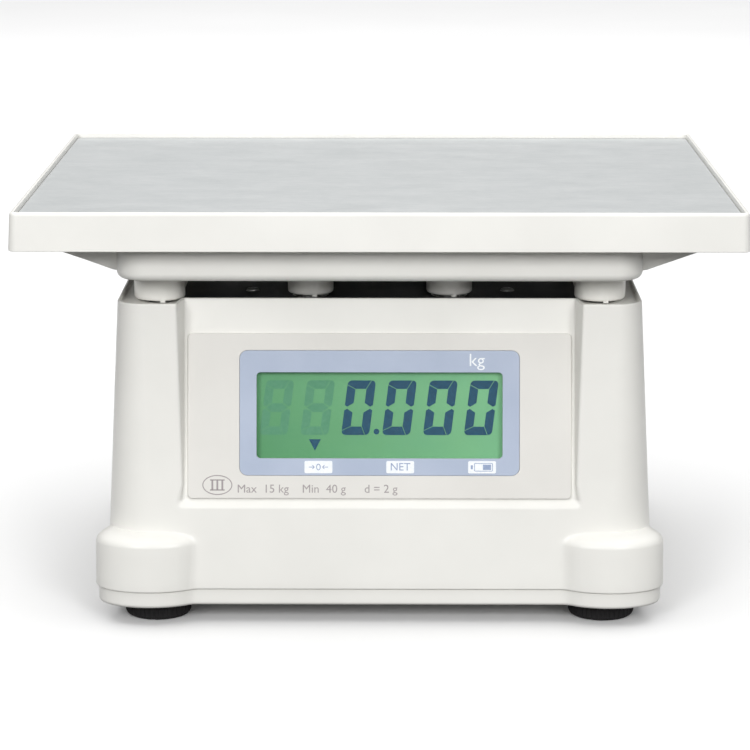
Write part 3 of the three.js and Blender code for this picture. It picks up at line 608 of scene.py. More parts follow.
def case_ring(z, inset=0.0, height=None):
    """The whole outline, counter-clockwise, with its shape taken at z and its points put at height."""
    quarter = shaped_quarter(z, inset)
    level = z if height is None else height
    back = quarter[::-1]
    ring = [(p.x, -p.y, level) for p in quarter] + [(p.x, p.y, level) for p in back[1:]]
    return ring + [(-p.x, p.y, level) for p in quarter[1:]] + [(-p.x, -p.y, level) for p in back[1:-1]]


def steps_between(low, high, count):
    """Evenly spaced values from low to high, both ends included."""
    return [low + (high - low) * step / count for step in range(count + 1)]


def case_levels(low, high, drop=0.0):
    """Heights that follow the pads' shoulders and the recess's ledge, lowered by drop."""
    drops = [1 - math.sin(step / 9 * math.pi / 2) for step in range(10)]
    shoulder = [PAD_TOP - (PAD_TOP - PAD_SHOULDER) * share for share in drops]
    ledge = [LEDGE[0] + up for up in (-0.6, 0, 0.5, 1.5)] + [LEDGE[1] + up for up in (-0.5, 0, 0.6)]
    levels = steps_between(SEAM, PAD_SHOULDER, 4)[1:-1] + shoulder + [PAD_TOP + 0.4, 45.0] + ledge
    levels += [60.0, 75.0, 90.0, 105.0, 120.0, 130.0]
    return [z - drop for z in levels if low < z - drop < high]


def deck_holes(posts, screw_radius, screw_sides, level_radius, low, high):
    """Cutters for the holes round the posts, whose radius posts gives by kind, the screws and the level."""
    holes = []
    for kind, radius in posts.items():
        for corner in CORNERS:
            pin = middle_mm(f"post_pin_{kind}_{corner}")
            holes.append(drum(radius, low, high, 0, pin.x, pin.y))
    for corner in CORNERS:
        screw = middle_mm(f"deck_screw_{corner}")
        holes.append(drum(screw_radius, low, high, 0, screw.x, screw.y, screw_sides))
    vial = middle_mm("level_vial")
    holes.append(drum(level_radius, low, high, 0, vial.x, vial.y))
    return holes


def upper_case():
    """The hollow shell of the case, with its recesses, rim, deck and the holes through them."""
    underside = DECK - WALL
    inner = [case_ring(z, WALL) for z in [underside] + case_levels(SEAM, underside, WALL)[::-1] + [SEAM]]
    outer = [case_ring(SEAM, 0.5 - inset, SEAM + z) for inset, z in ((0.0, 0.0), (0.3, 0.1), (0.5, 0.5))]
    outer += [case_ring(z) for z in case_levels(SEAM + 0.6, RIM - 1)]
    rim = [(0.0, 0.7), (0.04, 0.42), (0.17, 0.17), (0.4, 0.0), (0.85, 0.0), (1.08, 0.12), (RIM_WIDTH, 0.35)]
    outer += [case_ring(RIM - down, inset) for inset, down in rim]
    outer += [case_ring(DECK + 0.35, RIM_WIDTH + 0.05), case_ring(DECK, RIM_WIDTH + 0.4)]
    shell = loft(inner + outer)

    posts = {kind: SOCKET_RADIUS + 1.6 for kind in POST_RADIUS}
    holes = deck_holes(posts, 1.8, 16, 8.2, DECK - 6, RIM + 1)
    for who in DISPLAYS:
        half_x, half_y = (half - PLUG_INSET + 0.3 for half in PANEL_HALF)
        holes.append(moved(slab(half_x, half_y, 2, -8, 1), panel_frame(who)))
    pocket = moved(slab(34, 9.5, 1.5, 114.1, 130, 0, 40, 28), ALONG_X)
    switch = moved(slab(9.8, 6.8, 0.8, 100, 130, 0, middle_mm("switch_body").y, 28), ALONG_X)
    inlet = moved(drum(5.3, 90, 130, 0, middle_mm("dc_inlet").y, 28), ALONG_X)
    piece("upper_case_shell", shell, "base", "ivory_plastic", ["upper_case"],
          cuts=[joined(holes), pocket, joined([switch, inlet])])


def shade_sheet_on_deck():
    """A thin black sheet on the deck that paints the shade in the gap under the trays, let in round the posts, the
    screws and the level.
    """
    half_y = RECESS_DEPTH_Y - 2.4
    posts = {kind: radius - 2 for kind, radius in POST_RADIUS.items()}
    holes = deck_holes(posts, 3.1, 24, 8.4, DECK - 1, RIM)
    # Black plastic sheet: painted shade on the deck under the trays.
    body = slab(SHADE_SHEET_HALF_X, half_y, 6, DECK + 0.01, DECK + 0.17, 0.05)
    piece("deck_painted_shade_sheet", body, "base", "black_plastic", cuts=[joined(holes)])


# A frame whose z runs along world X, whose x runs along world Y and whose y runs up.
ALONG_X = Matrix(((0, 0, 1, 0), (1, 0, 0, 0), (0, 1, 0, 0), (0, 0, 0, 1)))


def lower_case():
    """The shallow tray that closes the case from below."""
    floor_top = FLOOR + LOWER_FLOOR
    edge = [(1.6, 0.0), (1.0, 0.12), (0.5, 0.42), (0.16, 0.9), (0.0, 1.6)]
    rings = [case_ring(FLOOR + up, LOWER_INSET + inset) for inset, up in edge]
    rings += [case_ring(LOWER_TOP - 0.3, LOWER_INSET), case_ring(LOWER_TOP, LOWER_INSET + 0.3)]
    rings += [case_ring(LOWER_TOP, LOWER_INSET + WALL), case_ring(floor_top, LOWER_INSET + WALL)]
    hatch_low, hatch_high = box_mm("battery_hatch")
    half = (hatch_high - hatch_low) / 2 + Vector((0.3, 0.3, 0))
    y = middle_mm("battery_hatch").y
    step = hatch_low.z + 2.3
    hatch = [rounded(half.x, half.y, 1.5, FLOOR - 1, 0, y), rounded(half.x, half.y, 1.5, step, 0, y)]
    hatch += [rounded(half.x - 6, half.y - 6, 1, step, 0, y), rounded(half.x - 6, half.y - 6, 1, 20, 0, y)]
    holes = [loft(hatch)]
    for corner in CORNERS:
        stud = middle_mm(f"foot_stud_{corner}")
        screw = middle_mm(f"case_screw_{corner}")
        holes.append(drum(4.8, 0, 20, 0, stud.x, stud.y))
        holes.append(drum(3.5, 0, 20, 0, screw.x, screw.y))
    hatch_screw = middle_mm("hatch_screw")
    notch = drum(3.4, 0, 20, 0, 0, hatch_screw.y)
    piece("lower_case_tray", loft(rings), "base", "ivory_plastic", ["lower_case"],
          cuts=[joined(holes), notch])


def battery_hatch():
    """The hatch in the underside, with grip ribs and a sunk screw."""
    low, high = box_mm("battery_hatch")
    half = (high - low) / 2
    y = middle_mm("battery_hatch").y
    screw = middle_mm("hatch_screw")
    body = slab(half.x, half.y, 1.2, low.z, low.z + 2, 0.3, 0, y)
    grips = [slab(9, 0.5, 0.45, low.z - 1, low.z + 0.6, 0, 0, y - 20 + 2.4 * rib) for rib in range(5)]
    well = drum(2.8, low.z - 1, low.z + 1.4, 0, screw.x, screw.y)
    shaft = drum(1.55, low.z - 1, high.z + 1, 0, screw.x, screw.y)
    piece("battery_hatch_cover", body, "base", "ivory_plastic", ["battery_hatch"],
          cuts=[joined(grips + [well]), shaft])


# ---------------------------------------------------------------- screws and pins

def cross_slot(size, low, high, x, y):
    """Cutters for the cross in a screw's head."""
    arm = size * 0.62
    thin = size * 0.13
    return [slab(arm, thin, 0.05, low, high, 0, x, y), slab(thin, arm, 0.05, low, high, 0, x, y)]


def screws():
    """Domed deck screws that face up, and pan-head screws that face down, each with a cross slot."""
    for corner in CORNERS:
        node = f"deck_screw_{corner}"
        low, high = box_mm(node)
        x, y = middle_mm(node).xy
        seat = DECK + 0.3
        profile = [(0.3, low.z), (1.5, low.z + 1.2), (1.5, seat), (2.8, seat), (2.8, seat + 0.3)]
        dome = high.z - seat - 0.3
        profile += [(2.8 * math.cos(t), seat + 0.3 + dome * math.sin(t)) for t in (0.4, 0.8, 1.2)]
        profile += [(0.2, high.z)]
        piece(f"deck_screw_{corner}_fine", turned(profile, x, y), "base", "zinc_steel", [node],
              cuts=cross_slot(2.8, high.z - 0.5, high.z + 1, x, y))
    for corner in CORNERS:
        down_screw(f"case_screw_{corner}", 3.0, 2.0, 1.5)
    down_screw("hatch_screw", 2.5, 0.8, 1.25)


def down_screw(node, head, height, shank):
    """A pan-head screw that faces down."""
    low, high = box_mm(node)
    x, y = middle_mm(node).xy
    profile = [(head * 0.75, low.z), (head * 0.94, low.z + height * 0.12), (head, low.z + height * 0.4)]
    profile += [(head, low.z + height), (shank, low.z + height), (shank, high.z - 1), (0.2, high.z)]
    piece(f"{node}_fine", turned(profile, x, y), "base", "zinc_steel", [node],
          cuts=cross_slot(head, low.z - 1, low.z + height * 0.5, x, y))


def post_pins():
    """The stepped pins that the support tray rests on."""
    for kind in POST_RADIUS:
        for corner in CORNERS:
            node = f"post_pin_{kind}_{corner}"
            low, high = box_mm(node)
            x, y = middle_mm(node).xy
            shoulder = 107.3
            profile = [(2.6, low.z), (3, low.z + 0.4), (3, shoulder), (4.2, shoulder)]
            profile += [(4.5, shoulder + 0.3), (4.5, high.z - 1.6), (4.3, high.z - 0.9)]
            profile += [(3.6, high.z - 0.25), (2.6, high.z)]
            piece(f"{node}_fine", turned(profile, x, y), "weighing_carrier", "zinc_steel", [node])


def load_cell():
    """The load cell's beam, with its windows and bolt holes; in the scale one end stays on the base and the other
    sinks with the trays, but here it rides on no body.

    clash.py skips pairs with a body in common, so this piece needs a test of its own.
    """
    low, high = box_mm("load_cell")
    middle = (low + high) / 2
    half = (high - low) / 2
    reach = 33.0
    window_x, window_radius = 14, 8
    bolt_insets = (8, 22)

    def section(inset, x):
        return rounded(half.y - inset, half.z - inset, 0.8, x, middle.y, middle.z, 3)

    stations = [section(0.5, low.x), section(0, low.x + 0.5)]
    stations += [section(0, x) for x in (-reach, -11, 11, reach)]
    stations += [section(0, high.x - 0.5), section(0.5, high.x)]
    across = Matrix.Rotation(math.pi / 2, 4, "X")
    eyes = [moved(drum(window_radius, -30, 30, 0, side * window_x, middle.z, 40), across) for side in SIDES]
    slot = moved(slab(window_x, 3, 0.1, -30, 30, 0, 0, middle.z), across)
    bolts = [drum(3.4, 0, 200, 0, end * (high.x - inset), 0, 24) for end in SIDES for inset in bolt_insets]
    obj = piece("load_cell_beam", moved(loft(stations), ALONG_X), None, "cast_aluminium", ["load_cell"],
                cuts=[joined(eyes), slot, joined(bolts)])
    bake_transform(obj)


# ---------------------------------------------------------------- trays

def support_tray():
    """The dish with its side wings and eight hollow posts, open at the top."""
    def dish_ring(inset, z):
        return rounded(DISH_HALF[0] - inset, DISH_HALF[1] - inset, DISH_CORNER - inset, z, 0, 0, 12)

    dish = loft(wall(dish_ring, DISH_BOTTOM, DISH_RIM, 3.2, 0.5, 6))
    hollow = loft(wall(lambda inset, z: dish_ring(WALL + inset, z),
                       DISH_BOTTOM + WALL, DISH_RIM + 1, 2, 0, 4))
    joins = []
    sockets = []
    for kind, radius in POST_RADIUS.items():
        for corner, (_, side_y) in CORNERS.items():
            x, y = middle_mm(f"post_pin_{kind}_{corner}").xy
            profile = [(radius - 1.3, POST_BOTTOM), (radius - 0.75, POST_BOTTOM + 0.12)]
            profile += [(radius - 0.3, POST_BOTTOM + 0.45), (radius - 0.05, POST_BOTTOM + 0.9)]
            profile += [(radius, POST_BOTTOM + 1.5), (radius, DISH_BOTTOM + 1)]
            # A small ivory tab at each post's foot, 1.9 mm right of its middle: a painted highlight that stands in
            # for the lamp's glint there.
            glint_tab_y = y + side_y * (radius - 1.6)
            glint_tab = slab(1.1, 1, 0.3, POST_BOTTOM - 0.6, POST_BOTTOM + 1, 0.15, x + 1.9, glint_tab_y)
            joins += [turned(profile, x, y, 48), glint_tab]
            sockets.append(turned([(5.6, POST_BOTTOM - 2), (5.6, POST_BOTTOM), (5.1, POST_BOTTOM + 0.5),
                                   (5.1, 146)], x, y))
    hollows = [hollow]
    for side in SIDES:
        joins.append(wing(side, 0))
        hollows.append(wing(side, WALL))
    ribs = [slab(DISH_HALF[0] - 1, WALL / 2, 0.3, DISH_BOTTOM + 1, DISH_RIM, 0.3)]
    ribs.append(slab(WALL / 2, DISH_HALF[1] - 1, 0.3, DISH_BOTTOM + 1, DISH_RIM, 0.3))
    obj = add_object("tray", dish)
    combine(obj, joins, "UNION")
    combine(obj, hollows, "DIFFERENCE")
    body = [vertex.co / MM for vertex in obj.data.vertices], [tuple(f.vertices) for f in obj.data.polygons]
    bpy.data.objects.remove(obj)
    piece("support_tray_moulding", body, "support", "ivory_plastic", ["support_tray"],
          joins=ribs, cuts=[joined(sockets)])


def wing(side, inset):
    """A side wing's outer shape, or its hollow where inset is given, as a prism along Y."""
    root = DISH_HALF[0] - 4 + 2 * inset
    tip = WING["reach"] - inset
    rise = WING["low"] + inset
    top = WING["bend"] + 4 + inset
    bend = WING["bend"] + inset
    slope = (WING["bend"] - WING["low"]) / (WING["reach"] - WING["foot"])
    soft = 1.2
    outline = [(root, rise), (WING["foot"] - soft, rise), (WING["foot"] + soft, rise + soft * slope)]
    outline += [(tip - 2, bend - 2 * slope), (tip - 0.6, bend - 0.3), (tip, bend + 0.9)]
    outline += [(tip, top - 0.4), (tip - 0.4, top), (root, top)]
    half_y = WING["half_y"] - inset
    rings = []
    for y, shrink in ((-half_y, 0.5), (-half_y + 0.5, 0), (half_y - 0.5, 0), (half_y, 0.5)):
        centre = Vector(((root + tip) / 2, (rise + top) / 2))
        ring = []
        for x, z in outline:
            keep = 0 if x == root else shrink
            out = side * (x - math.copysign(keep, x - centre.x))
            ring.append((out, y, z + math.copysign(shrink, centre.y - z)))
        rings.append(ring)
    return loft(rings[::-1] if side > 0 else rings)


def platter_tray():
    """The moulded platter: a shallow tray with a skirt and a seat for the steel pan."""
    low, high = box_mm("platter_tray")
    half = (high.x - 0.8, high.y - 0.8)
    corner = 3.0

    def outer(flare, z):
        return rounded(half[0] + flare, half[1] + flare, corner + flare, z, 0, 0, 8)

    def inner(inset, z):
        return rounded(half[0] - inset, half[1] - inset, corner - 1.2, z, 0, 0, 8)

    seat = high.z - 3.3
    rings = [inner(4.2, seat - 2.5), inner(2.8, seat - 2.9), inner(2.2, seat - 4), inner(1.8, low.z + 0.4)]
    rings += [inner(1.4, low.z), outer(0.35, low.z), outer(0.68, low.z + 0.12), outer(0.8, low.z + 0.45)]
    rings += [outer(0.05, high.z - 1.5), outer(-0.04, high.z - 0.95), outer(-0.24, high.z - 0.5)]
    rings += [outer(-0.58, high.z - 0.17), outer(-1.0, high.z - 0.02), inner(1.35, high.z)]
    rings += [inner(1.75, high.z - 0.1), inner(1.95, high.z - 0.4)]
    rings += [inner(2.0, seat + 0.2), inner(2.2, seat)]
    piece("platter_moulding", loft(rings), "platter", "ivory_plastic", ["platter_tray"])


def steel_pan():
    """The flat sheet let into the platter."""
    low, high = box_mm("steel_pan")
    body = slab(high.x + 0.12, high.y + 0.12, 1.6, low.z, high.z, 0.18)
    piece("pan_sheet", body, "pan", "stainless_sheet", ["steel_pan"])


# ---------------------------------------------------------------- display panels

def panel_frame(who):
    """A panel's own frame: x to its reader's right, y up its face and z out of it."""
    turn = 0 if who == "customer" else math.pi
    axes = Matrix.Rotation(turn, 4, "Z") @ Matrix.Rotation(math.pi / 2 - LEAN, 4, "X")
    lcd = axes @ Vector((0, DISPLAYS[who]["sight"][2], LCD_MIDDLE))
    return Matrix.Translation(middle_mm(f"{who}_lcd") - lcd) @ axes


def panel(who):
    """The panel plate, with a sunk field for the printed film and a sight for the display."""
    display = DISPLAYS[who]
    matrix = panel_frame(who)

    def at(shape, corner, w, grow=0.0):
        half_x, half_y, up = shape
        return rounded(half_x + grow, half_y + grow, corner + grow, w, 0, up, 8)

    face = (*PANEL_HALF, 0)
    plug = (PANEL_HALF[0] - PLUG_INSET, PANEL_HALF[1] - PLUG_INSET, 0)
    bezel = display["bezel"]
    sight = display["sight"]
    front = PANEL_PROUD
    rings = [at(sight, 1.7, -1.5), at(plug, 2, -1.5), at(plug, 2, 0.05), at(face, 2, 0.05)]
    rings += [at(face, 2, front - down, grow) for down, grow in ((0.5, 0), (0.2, -0.08), (0.04, -0.3))]
    rings += [at(face, 2, front, -0.6), at(bezel, 3.4, front, 0.2), at(bezel, 3.4, front - 0.12, 0.04)]
    rings += [at(bezel, 3.4, 0.4), at(sight, 1.7, 0.4)]
    holes = []
    for key in display["keys"]:
        x, y = key_place(who, key)
        holes.append(moved(slab(KEY_HALF[0] + 0.4, KEY_HALF[1] + 0.4, 2, -9, 9, 0, x, y), matrix))
    piece(f"{who}_panel_plate", moved(loft(rings, closed=True), matrix), "base", "panel_plastic",
          [f"{who}_panel"], cuts=[joined(holes)] if holes else [])

    film = [at(sight, 1.7, front - 0.5), at(bezel, 3.4, front - 0.5, -0.12)]
    film += [at(bezel, 3.4, front - 0.06, -0.12), at(bezel, 3.4, front, -0.2)]
    film += [at(sight, 1.7, front, 0.08), at(sight, 1.7, front - 0.08)]
    piece(f"{who}_bezel_film", moved(loft(film, closed=True), matrix), "base", "bezel_print",
          [f"{who}_bezel"])


def key_place(who, key):
    """The middle of a key in its panel's frame."""
    local = panel_frame(who).inverted() @ middle_mm(key)
    return local.x, local.y


DIGIT = {"width": 12.0, "height": 23.2, "bar": 3.8, "round": 1.9, "slant": math.tan(math.radians(7.2))}
LIT = {"0": "abcdef", "8": "abcdefg"}


def segment_outlines():
    """The seven bars of a digit, upright, from its lower left corner."""
    width, height, bar, soft = (DIGIT[key] for key in ("width", "height", "bar", "round"))
    middle = height / 2
    tip = 1.2
    near, side, far = 0.3, 1.05, 1.95
    quarter = [math.pi / 2 * step / 4 for step in range(5)]
    upper_left = [(soft - soft * math.sin(t), height - soft + soft * math.cos(t)) for t in quarter]
    upper_right = [(width - soft + soft * math.cos(t), height - soft + soft * math.sin(t)) for t in quarter]
    lower_right = [(x, height - y) for x, y in upper_right]
    lower_left = [(x, height - y) for x, y in upper_left]
    left_up = [(bar, height - bar), (0, height - soft), (0, middle + side), (tip, middle + near)]
    left_up.append((bar, middle + far))
    right_up = [(width - bar, middle + far), (width - tip, middle + near), (width, middle + side)]
    return {
        "a": [(bar, height - bar), (width - bar, height - bar), (width - soft, height)] + upper_left,
        "b": [(width - bar, height - bar)] + right_up + upper_right,
        "c": [(width - bar, bar)] + [(x, height - y) for x, y in right_up] + lower_right,
        "d": [(bar, bar), (width - bar, bar), (width - soft, 0)] + lower_left,
        "e": [(x, height - y) for x, y in left_up],
        "f": left_up,
        "g": [(tip, middle), (bar, middle + far), (width - bar, middle + far), (width - tip, middle),
              (width - bar, middle - far), (bar, middle - far)],
    }


def shrunk(outline, gap):
    """An outline with every edge moved in by gap."""
    points = [Vector(p) for p in outline]
    points = [p for p, before in zip(points, points[-1:] + points[:-1]) if (p - before).length > 1e-3]
    around = sum(a.x * b.y - b.x * a.y for a, b in zip(points, points[1:] + points[:1]))
    if around < 0:
        points.reverse()
    inner = []
    for before, point, after in zip(points[-1:] + points[:-1], points, points[1:] + points[:1]):
        first = (point - before).normalized()
        second = (after - point).normalized()
        normal = Vector((-first.y, first.x)) + Vector((-second.y, second.x))
        scale = max(normal.length_squared / 2, 0.3)
        inner.append(point + normal * gap / scale)
    return [(p.x, p.y) for p in inner]


def digit(character, x, y, scale, low, high):
    """A digit's lit bars, slanted, with its lower left corner at x and y."""
    outlines = segment_outlines()
    bodies = []
    for name in LIT[character]:
        outline = shrunk(outlines[name], 0.12)
        placed = [(x + scale * (a + b * DIGIT["slant"]), y + scale * b) for a, b in outline]
        bodies.append(plate(placed, low, high))
    return bodies


def triangle_down(x, top, half, height, low, high):
    """The arrow that points from the display to a sign below it."""
    return plate([(x - half, top), (x + half, top), (x, top - height)], low, high)


def dot(x, y, radius, low, high):
    return plate([point[:2] for point in circle(radius, 0, x, y, 24)], low, high)


def readout(who, scale, first, foot, pitch, point_gap):
    """The number on a display, the resting bars to its left, and the zero arrow."""
    low = LCD_FRONT + 0.02
    high = low + 0.12
    bodies = []
    for place in range(4):
        bodies += digit("0", first + pitch * place, foot, scale, low, high)
    bodies.append(dot(first + pitch - point_gap, foot + 1.55 * scale, 1.2 * scale, low, high))
    bodies.append(triangle_down(-27.2, foot - 1.7 * scale, 2.5 * scale, 4.8 * scale, low, high))
    matrix = panel_frame(who)
    marks(f"{who}_readout", bodies, matrix, "base", "lcd_glass", SEGMENT_INK)
    resting = []
    for place in (-2, -1):
        resting += digit("8", first + pitch * place, foot, scale, low, low + 0.04)
    marks(f"{who}_resting_bars", resting, matrix, "base", "lcd_glass", GHOST_INK)


def flat_rounded(half_x, half_y, radius, x, y):
    return [point[:2] for point in rounded(half_x, half_y, radius, 0, x, y)]


def rounded_mark(half_x, half_y, radius, x, y, low, high):
    return plate(flat_rounded(half_x, half_y, radius, x, y), low, high)


def rounded_line(half_x, half_y, radius, x, y, line, low, high):
    outer = flat_rounded(half_x, half_y, radius, x, y)
    inner = flat_rounded(half_x - line, half_y - line, max(radius - line, 0.1), x, y)
    return frame_plate(outer, inner, low, high)


def oval_line(half_x, half_y, x, y, line, low, high):
    turns = [2 * math.pi * step / 48 for step in range(48)]
    outer = [(x + half_x * math.cos(t), y + half_y * math.sin(t)) for t in turns]
    inner = [(x + (half_x - line) * math.cos(t), y + (half_y - line) * math.sin(t)) for t in turns]
    return frame_plate(outer, inner, low, high)


def arrow(x, y, side, size, low, high):
    """A small arrow whose head is on the given side."""
    thick = 0.13 * size
    shaft = plate([(x - size, y - thick), (x + size, y - thick),
                   (x + size, y + thick), (x - size, y + thick)], low, high)
    tip = x + side * size
    bars = [shaft]
    for rise in SIDES:
        start = Vector((tip, y))
        end = Vector((tip - side * 0.7 * size, y + rise * 0.7 * size))
        across = (end - start).orthogonal().normalized() * thick
        bars.append(plate([tuple(start - across), tuple(end - across), tuple(end + across),
                           tuple(start + across)], low, high))
    return bars


def zero_sign(x, y, size, low, high):
    """Two arrows that point at a nought: the sign for zero."""
    bodies = [oval_line(0.82 * size, 1.2 * size, x, y, 0.3 * size, low, high)]
    bodies += arrow(x - 2.5 * size, y, 1, size, low, high)
    bodies += arrow(x + 2.5 * size, y, -1, size, low, high)
    return bodies


def battery_sign(x, y, low, high):
    """A small battery's outline with its charge."""
    return [
        rounded_line(3.9, 1.75, 0.4, x + 0.6, y, 0.28, low, high),
        rounded_mark(1.7, 1.15, 0.15, x + 2.1, y, low, high),
        rounded_mark(0.45, 0.85, 0.1, x - 4.3, y, low, high),
    ]


CLASS_MARK = (-68.0, -29.0)
CAPACITY_WORDS = (("Max  15 kg", -48.9), ("Min  40 g", -23.3), ("d = 2 g", 0.6))
CAPACITY_Y = -30.7


def panel_print(who):
    """The white signs under the display, the unit over it, and the grey capacity line."""
    _, half_y, up = DISPLAYS[who]["bezel"]
    sight_half, sight_up = DISPLAYS[who]["sight"][1:]
    matrix = panel_frame(who)
    low = PANEL_PROUD
    high = low + PRINT
    top = high + PRINT / 2
    foot = ((up - half_y) + (sight_up - sight_half)) / 2
    head = ((up + half_y) + (sight_up + sight_half)) / 2
    small = min(1.0, (sight_up - sight_half - up + half_y) / 7.3)
    places = (-25.6, 8.7, 43.0)
    white = [rounded_mark(5.85, 2.6 * small, 0.6, x, foot, low, high) for x in places]
    white.append(letters("kg", 7.6 * small, 40.7, head + 0.35, low, high))
    blue = zero_sign(places[0], foot, 1.15 * small, high, top)
    blue.append(letters("NET", 4.6 * small, places[1], foot, high, top))
    blue += battery_sign(places[2], foot, high, top)
    marks(f"{who}_white_print", white, matrix, "base", "bezel_print", WHITE_INK)
    marks(f"{who}_blue_print", blue, matrix, "base", "bezel_print", BLUE_INK)
    if who == "customer":
        x, y = CLASS_MARK
        grey = [oval_line(6.3, 4.2, x, y, 0.42, low, high)]
        for stroke in SIDES + (0,):
            grey.append(rounded_mark(0.38, 2.1, 0.1, x + 2.1 * stroke, y, low, high))
        for rise in SIDES:
            grey.append(rounded_mark(3.1, 0.25, 0.1, x, y + 2.1 * rise, low, high))
        for words, start in CAPACITY_WORDS:
            grey.append(letters(words, 4.9, start, CAPACITY_Y, low, high))
        marks("customer_grey_print", grey, matrix, "base", "panel_plastic", GREY_INK)


# How far in and how far down each ring of a key's cap is, from its outer edge and its highest point.
KEY_EDGE = ((0, 0.7), (0.12, 0.35), (0.4, 0.1), (0.9, 0))
KEY_DISH = ((1.6, 0.04), (2.6, 0.22), (3.6, 0.3))


def keys():
    """Softly dished key caps, each with the sign of what it does."""
    who = "operator"
    matrix = panel_frame(who)
    for key in DISPLAYS[who]["keys"]:
        x, y = key_place(who, key)

        def cap(inset, w, x=x, y=y):
            return rounded(KEY_HALF[0] - inset, KEY_HALF[1] - inset, 2 - min(inset, 1.5), w, x, y)

        rings = [rounded(KEY_HALF[0] + 1.2, KEY_HALF[1] + 0.6, 2, w, x, y) for w in (-3.3, -1.9)]
        rings.append(cap(0, -1.9))
        rings += [cap(inset, KEY_PROUD - down) for inset, down in KEY_EDGE + KEY_DISH]
        piece(f"{key}_cap", moved(loft(rings), matrix), key, "key_plastic", [key])
        low = KEY_PROUD - 0.3
        marks(f"{key}_sign", key_sign(key, x, y, low, low + PRINT), matrix, key, "key_plastic", WHITE_INK)


def key_sign(key, x, y, low, high):
    """The white sign on a key's cap."""
    if key == "key_zero":
        return zero_sign(x, y, 1.3, low, high)
    if key == "key_tare":
        return [letters("T", 4.4, x, y, low, high)]
    if key == "key_net":
        return [letters("NET", 3.6, x, y, low, high)]
    lines = [rounded_mark(2.4, 0.22, 0.1, x, y + 0.9 * row, low, high) for row in (-1, 0, 1)]
    return lines + [rounded_line(3.3, 2.2, 0.4, x, y, 0.3, low, high)]


# ---------------------------------------------------------------- feet

def foot(corner):
    """A ribbed rubber pad that turns on a threaded stud."""
    x, y = middle_mm(f"foot_pad_{corner}").xy
    low, high = box_mm(f"foot_pad_{corner}")
    radius = (high.x - low.x) / 2
    ribs = 40
    steps = ribs * 4

    def ribbed(inset, z, depth=0.0):
        ring = []
        for step in range(steps):
            turn = 2 * math.pi * step / steps
            reach = radius - inset - depth * (0, 0.15, 1, 0.85)[step % 4]
            ring.append((x + reach * math.cos(turn), y + reach * math.sin(turn), z))
        return ring

    top = high.z
    rings = [ribbed(4.4, 0.5), ribbed(3.8, 0), ribbed(2.2, 0), ribbed(1.2, 0.25), ribbed(0.5, 0.8, 0.1)]
    rings += [ribbed(0.15, 1.5, 0.4), ribbed(0, 2.1, 0.6), ribbed(0, top - 1.9, 0.6)]
    rings += [ribbed(0.2, top - 1.3, 0.4), ribbed(0.7, top - 0.5, 0.1), ribbed(1.5, top)]
    rings += [ribbed(radius - 4.6, top), ribbed(radius - 4.3, top - 0.3), ribbed(radius - 4.3, 3)]
    piece(f"foot_pad_{corner}_ribbed", loft(rings), f"pad_{corner}", "rubber", [f"foot_pad_{corner}"])

    low, high = box_mm(f"foot_stud_{corner}")
    pitch = 1.25
    around = 20
    levels = int((high.z - low.z - 2.4) / pitch * 5)
    rings = [circle(3.0, low.z, x, y, around), circle(3.5, low.z + 0.5, x, y, around)]
    for level in range(levels + 1):
        z = low.z + 1.0 + level * pitch / 5
        ring = []
        for step in range(around):
            turn = 2 * math.pi * step / around
            wave = abs(((z / pitch - step / around) % 1.0) - 0.5) * 2
            reach = 3.42 + 0.55 * wave
            ring.append((x + reach * math.cos(turn), y + reach * math.sin(turn), z))
        rings.append(ring)
    rings += [circle(3.4, high.z - 0.6, x, y, around), circle(2.8, high.z, x, y, around)]
    piece(f"foot_stud_{corner}_threaded", loft(rings), f"stud_{corner}", "zinc_steel",
          [f"foot_stud_{corner}"], sharp=50)


# ---------------------------------------------------------------- side field and level

def power_switch():
    low, high = box_mm("switch_body")
    y, z = middle_mm("switch_body").yz
    face = high.x
    half_y = (high.y - low.y) / 2
    half_z = (high.z - low.z) / 2
    flange = slab(half_y, half_z, 1.2, face - 1.6, face, 0.4, y, z)
    body = slab(half_y - 1, half_z - 1, 0.6, low.x, face - 1, 0.2, y, z)
    pit = slab(half_y - 2, half_z - 2, 0.5, face - 10, face + 1, 0, y, z)
    piece("switch_housing", moved(flange, ALONG_X), "base", "black_plastic", ["switch_body"],
          joins=[moved(body, ALONG_X)], cuts=[moved(pit, ALONG_X)])

    low, high = box_mm("power_rocker")
    pivot = next(joint["pos_m"] for joint in frame["joints"] if joint["name"] == "power_rocker_tip")
    tilt = math.radians(7)
    reach = half_y - 2.6
    half_height = (high.z - low.z) / 2
    shares = steps_between(-1, 1, 12)
    dish = [(2.2 - 1.1 * math.cos(math.pi / 2 * share) ** 2, share * reach) for share in shares]
    outline = [(-3.0, -reach + 0.3), (2.0, -reach), *dish[1:-1], (2.0, reach)]
    outline += [(-3.0, reach - 0.3), (-4.8, 0)]
    rings = []
    edge = half_height - 0.35
    for height, shrink in ((-half_height, 0.35), (-edge, 0), (edge, 0), (half_height, 0.35)):
        rings.append([(x - math.copysign(shrink, x), y * (1 - shrink / reach), height) for x, y in outline])
    place = Matrix.Translation(Vector(pivot) / MM) @ Matrix.Rotation(-tilt, 4, "Z")
    piece("power_rocker_cap", moved(loft(rings), place), "rocker", "black_plastic", ["power_rocker"])
    face = place @ ALONG_X
    signs = [rounded_mark(0.3, 1.8, 0.15, -4.8, 0, 1.75, 1.85)]
    signs.append(oval_line(1.7, 1.9, 4.8, 0, 0.45, 1.75, 1.85))
    obj = marks("power_rocker_signs", signs, face, "rocker", "black_plastic", WHITE_INK)
    return obj


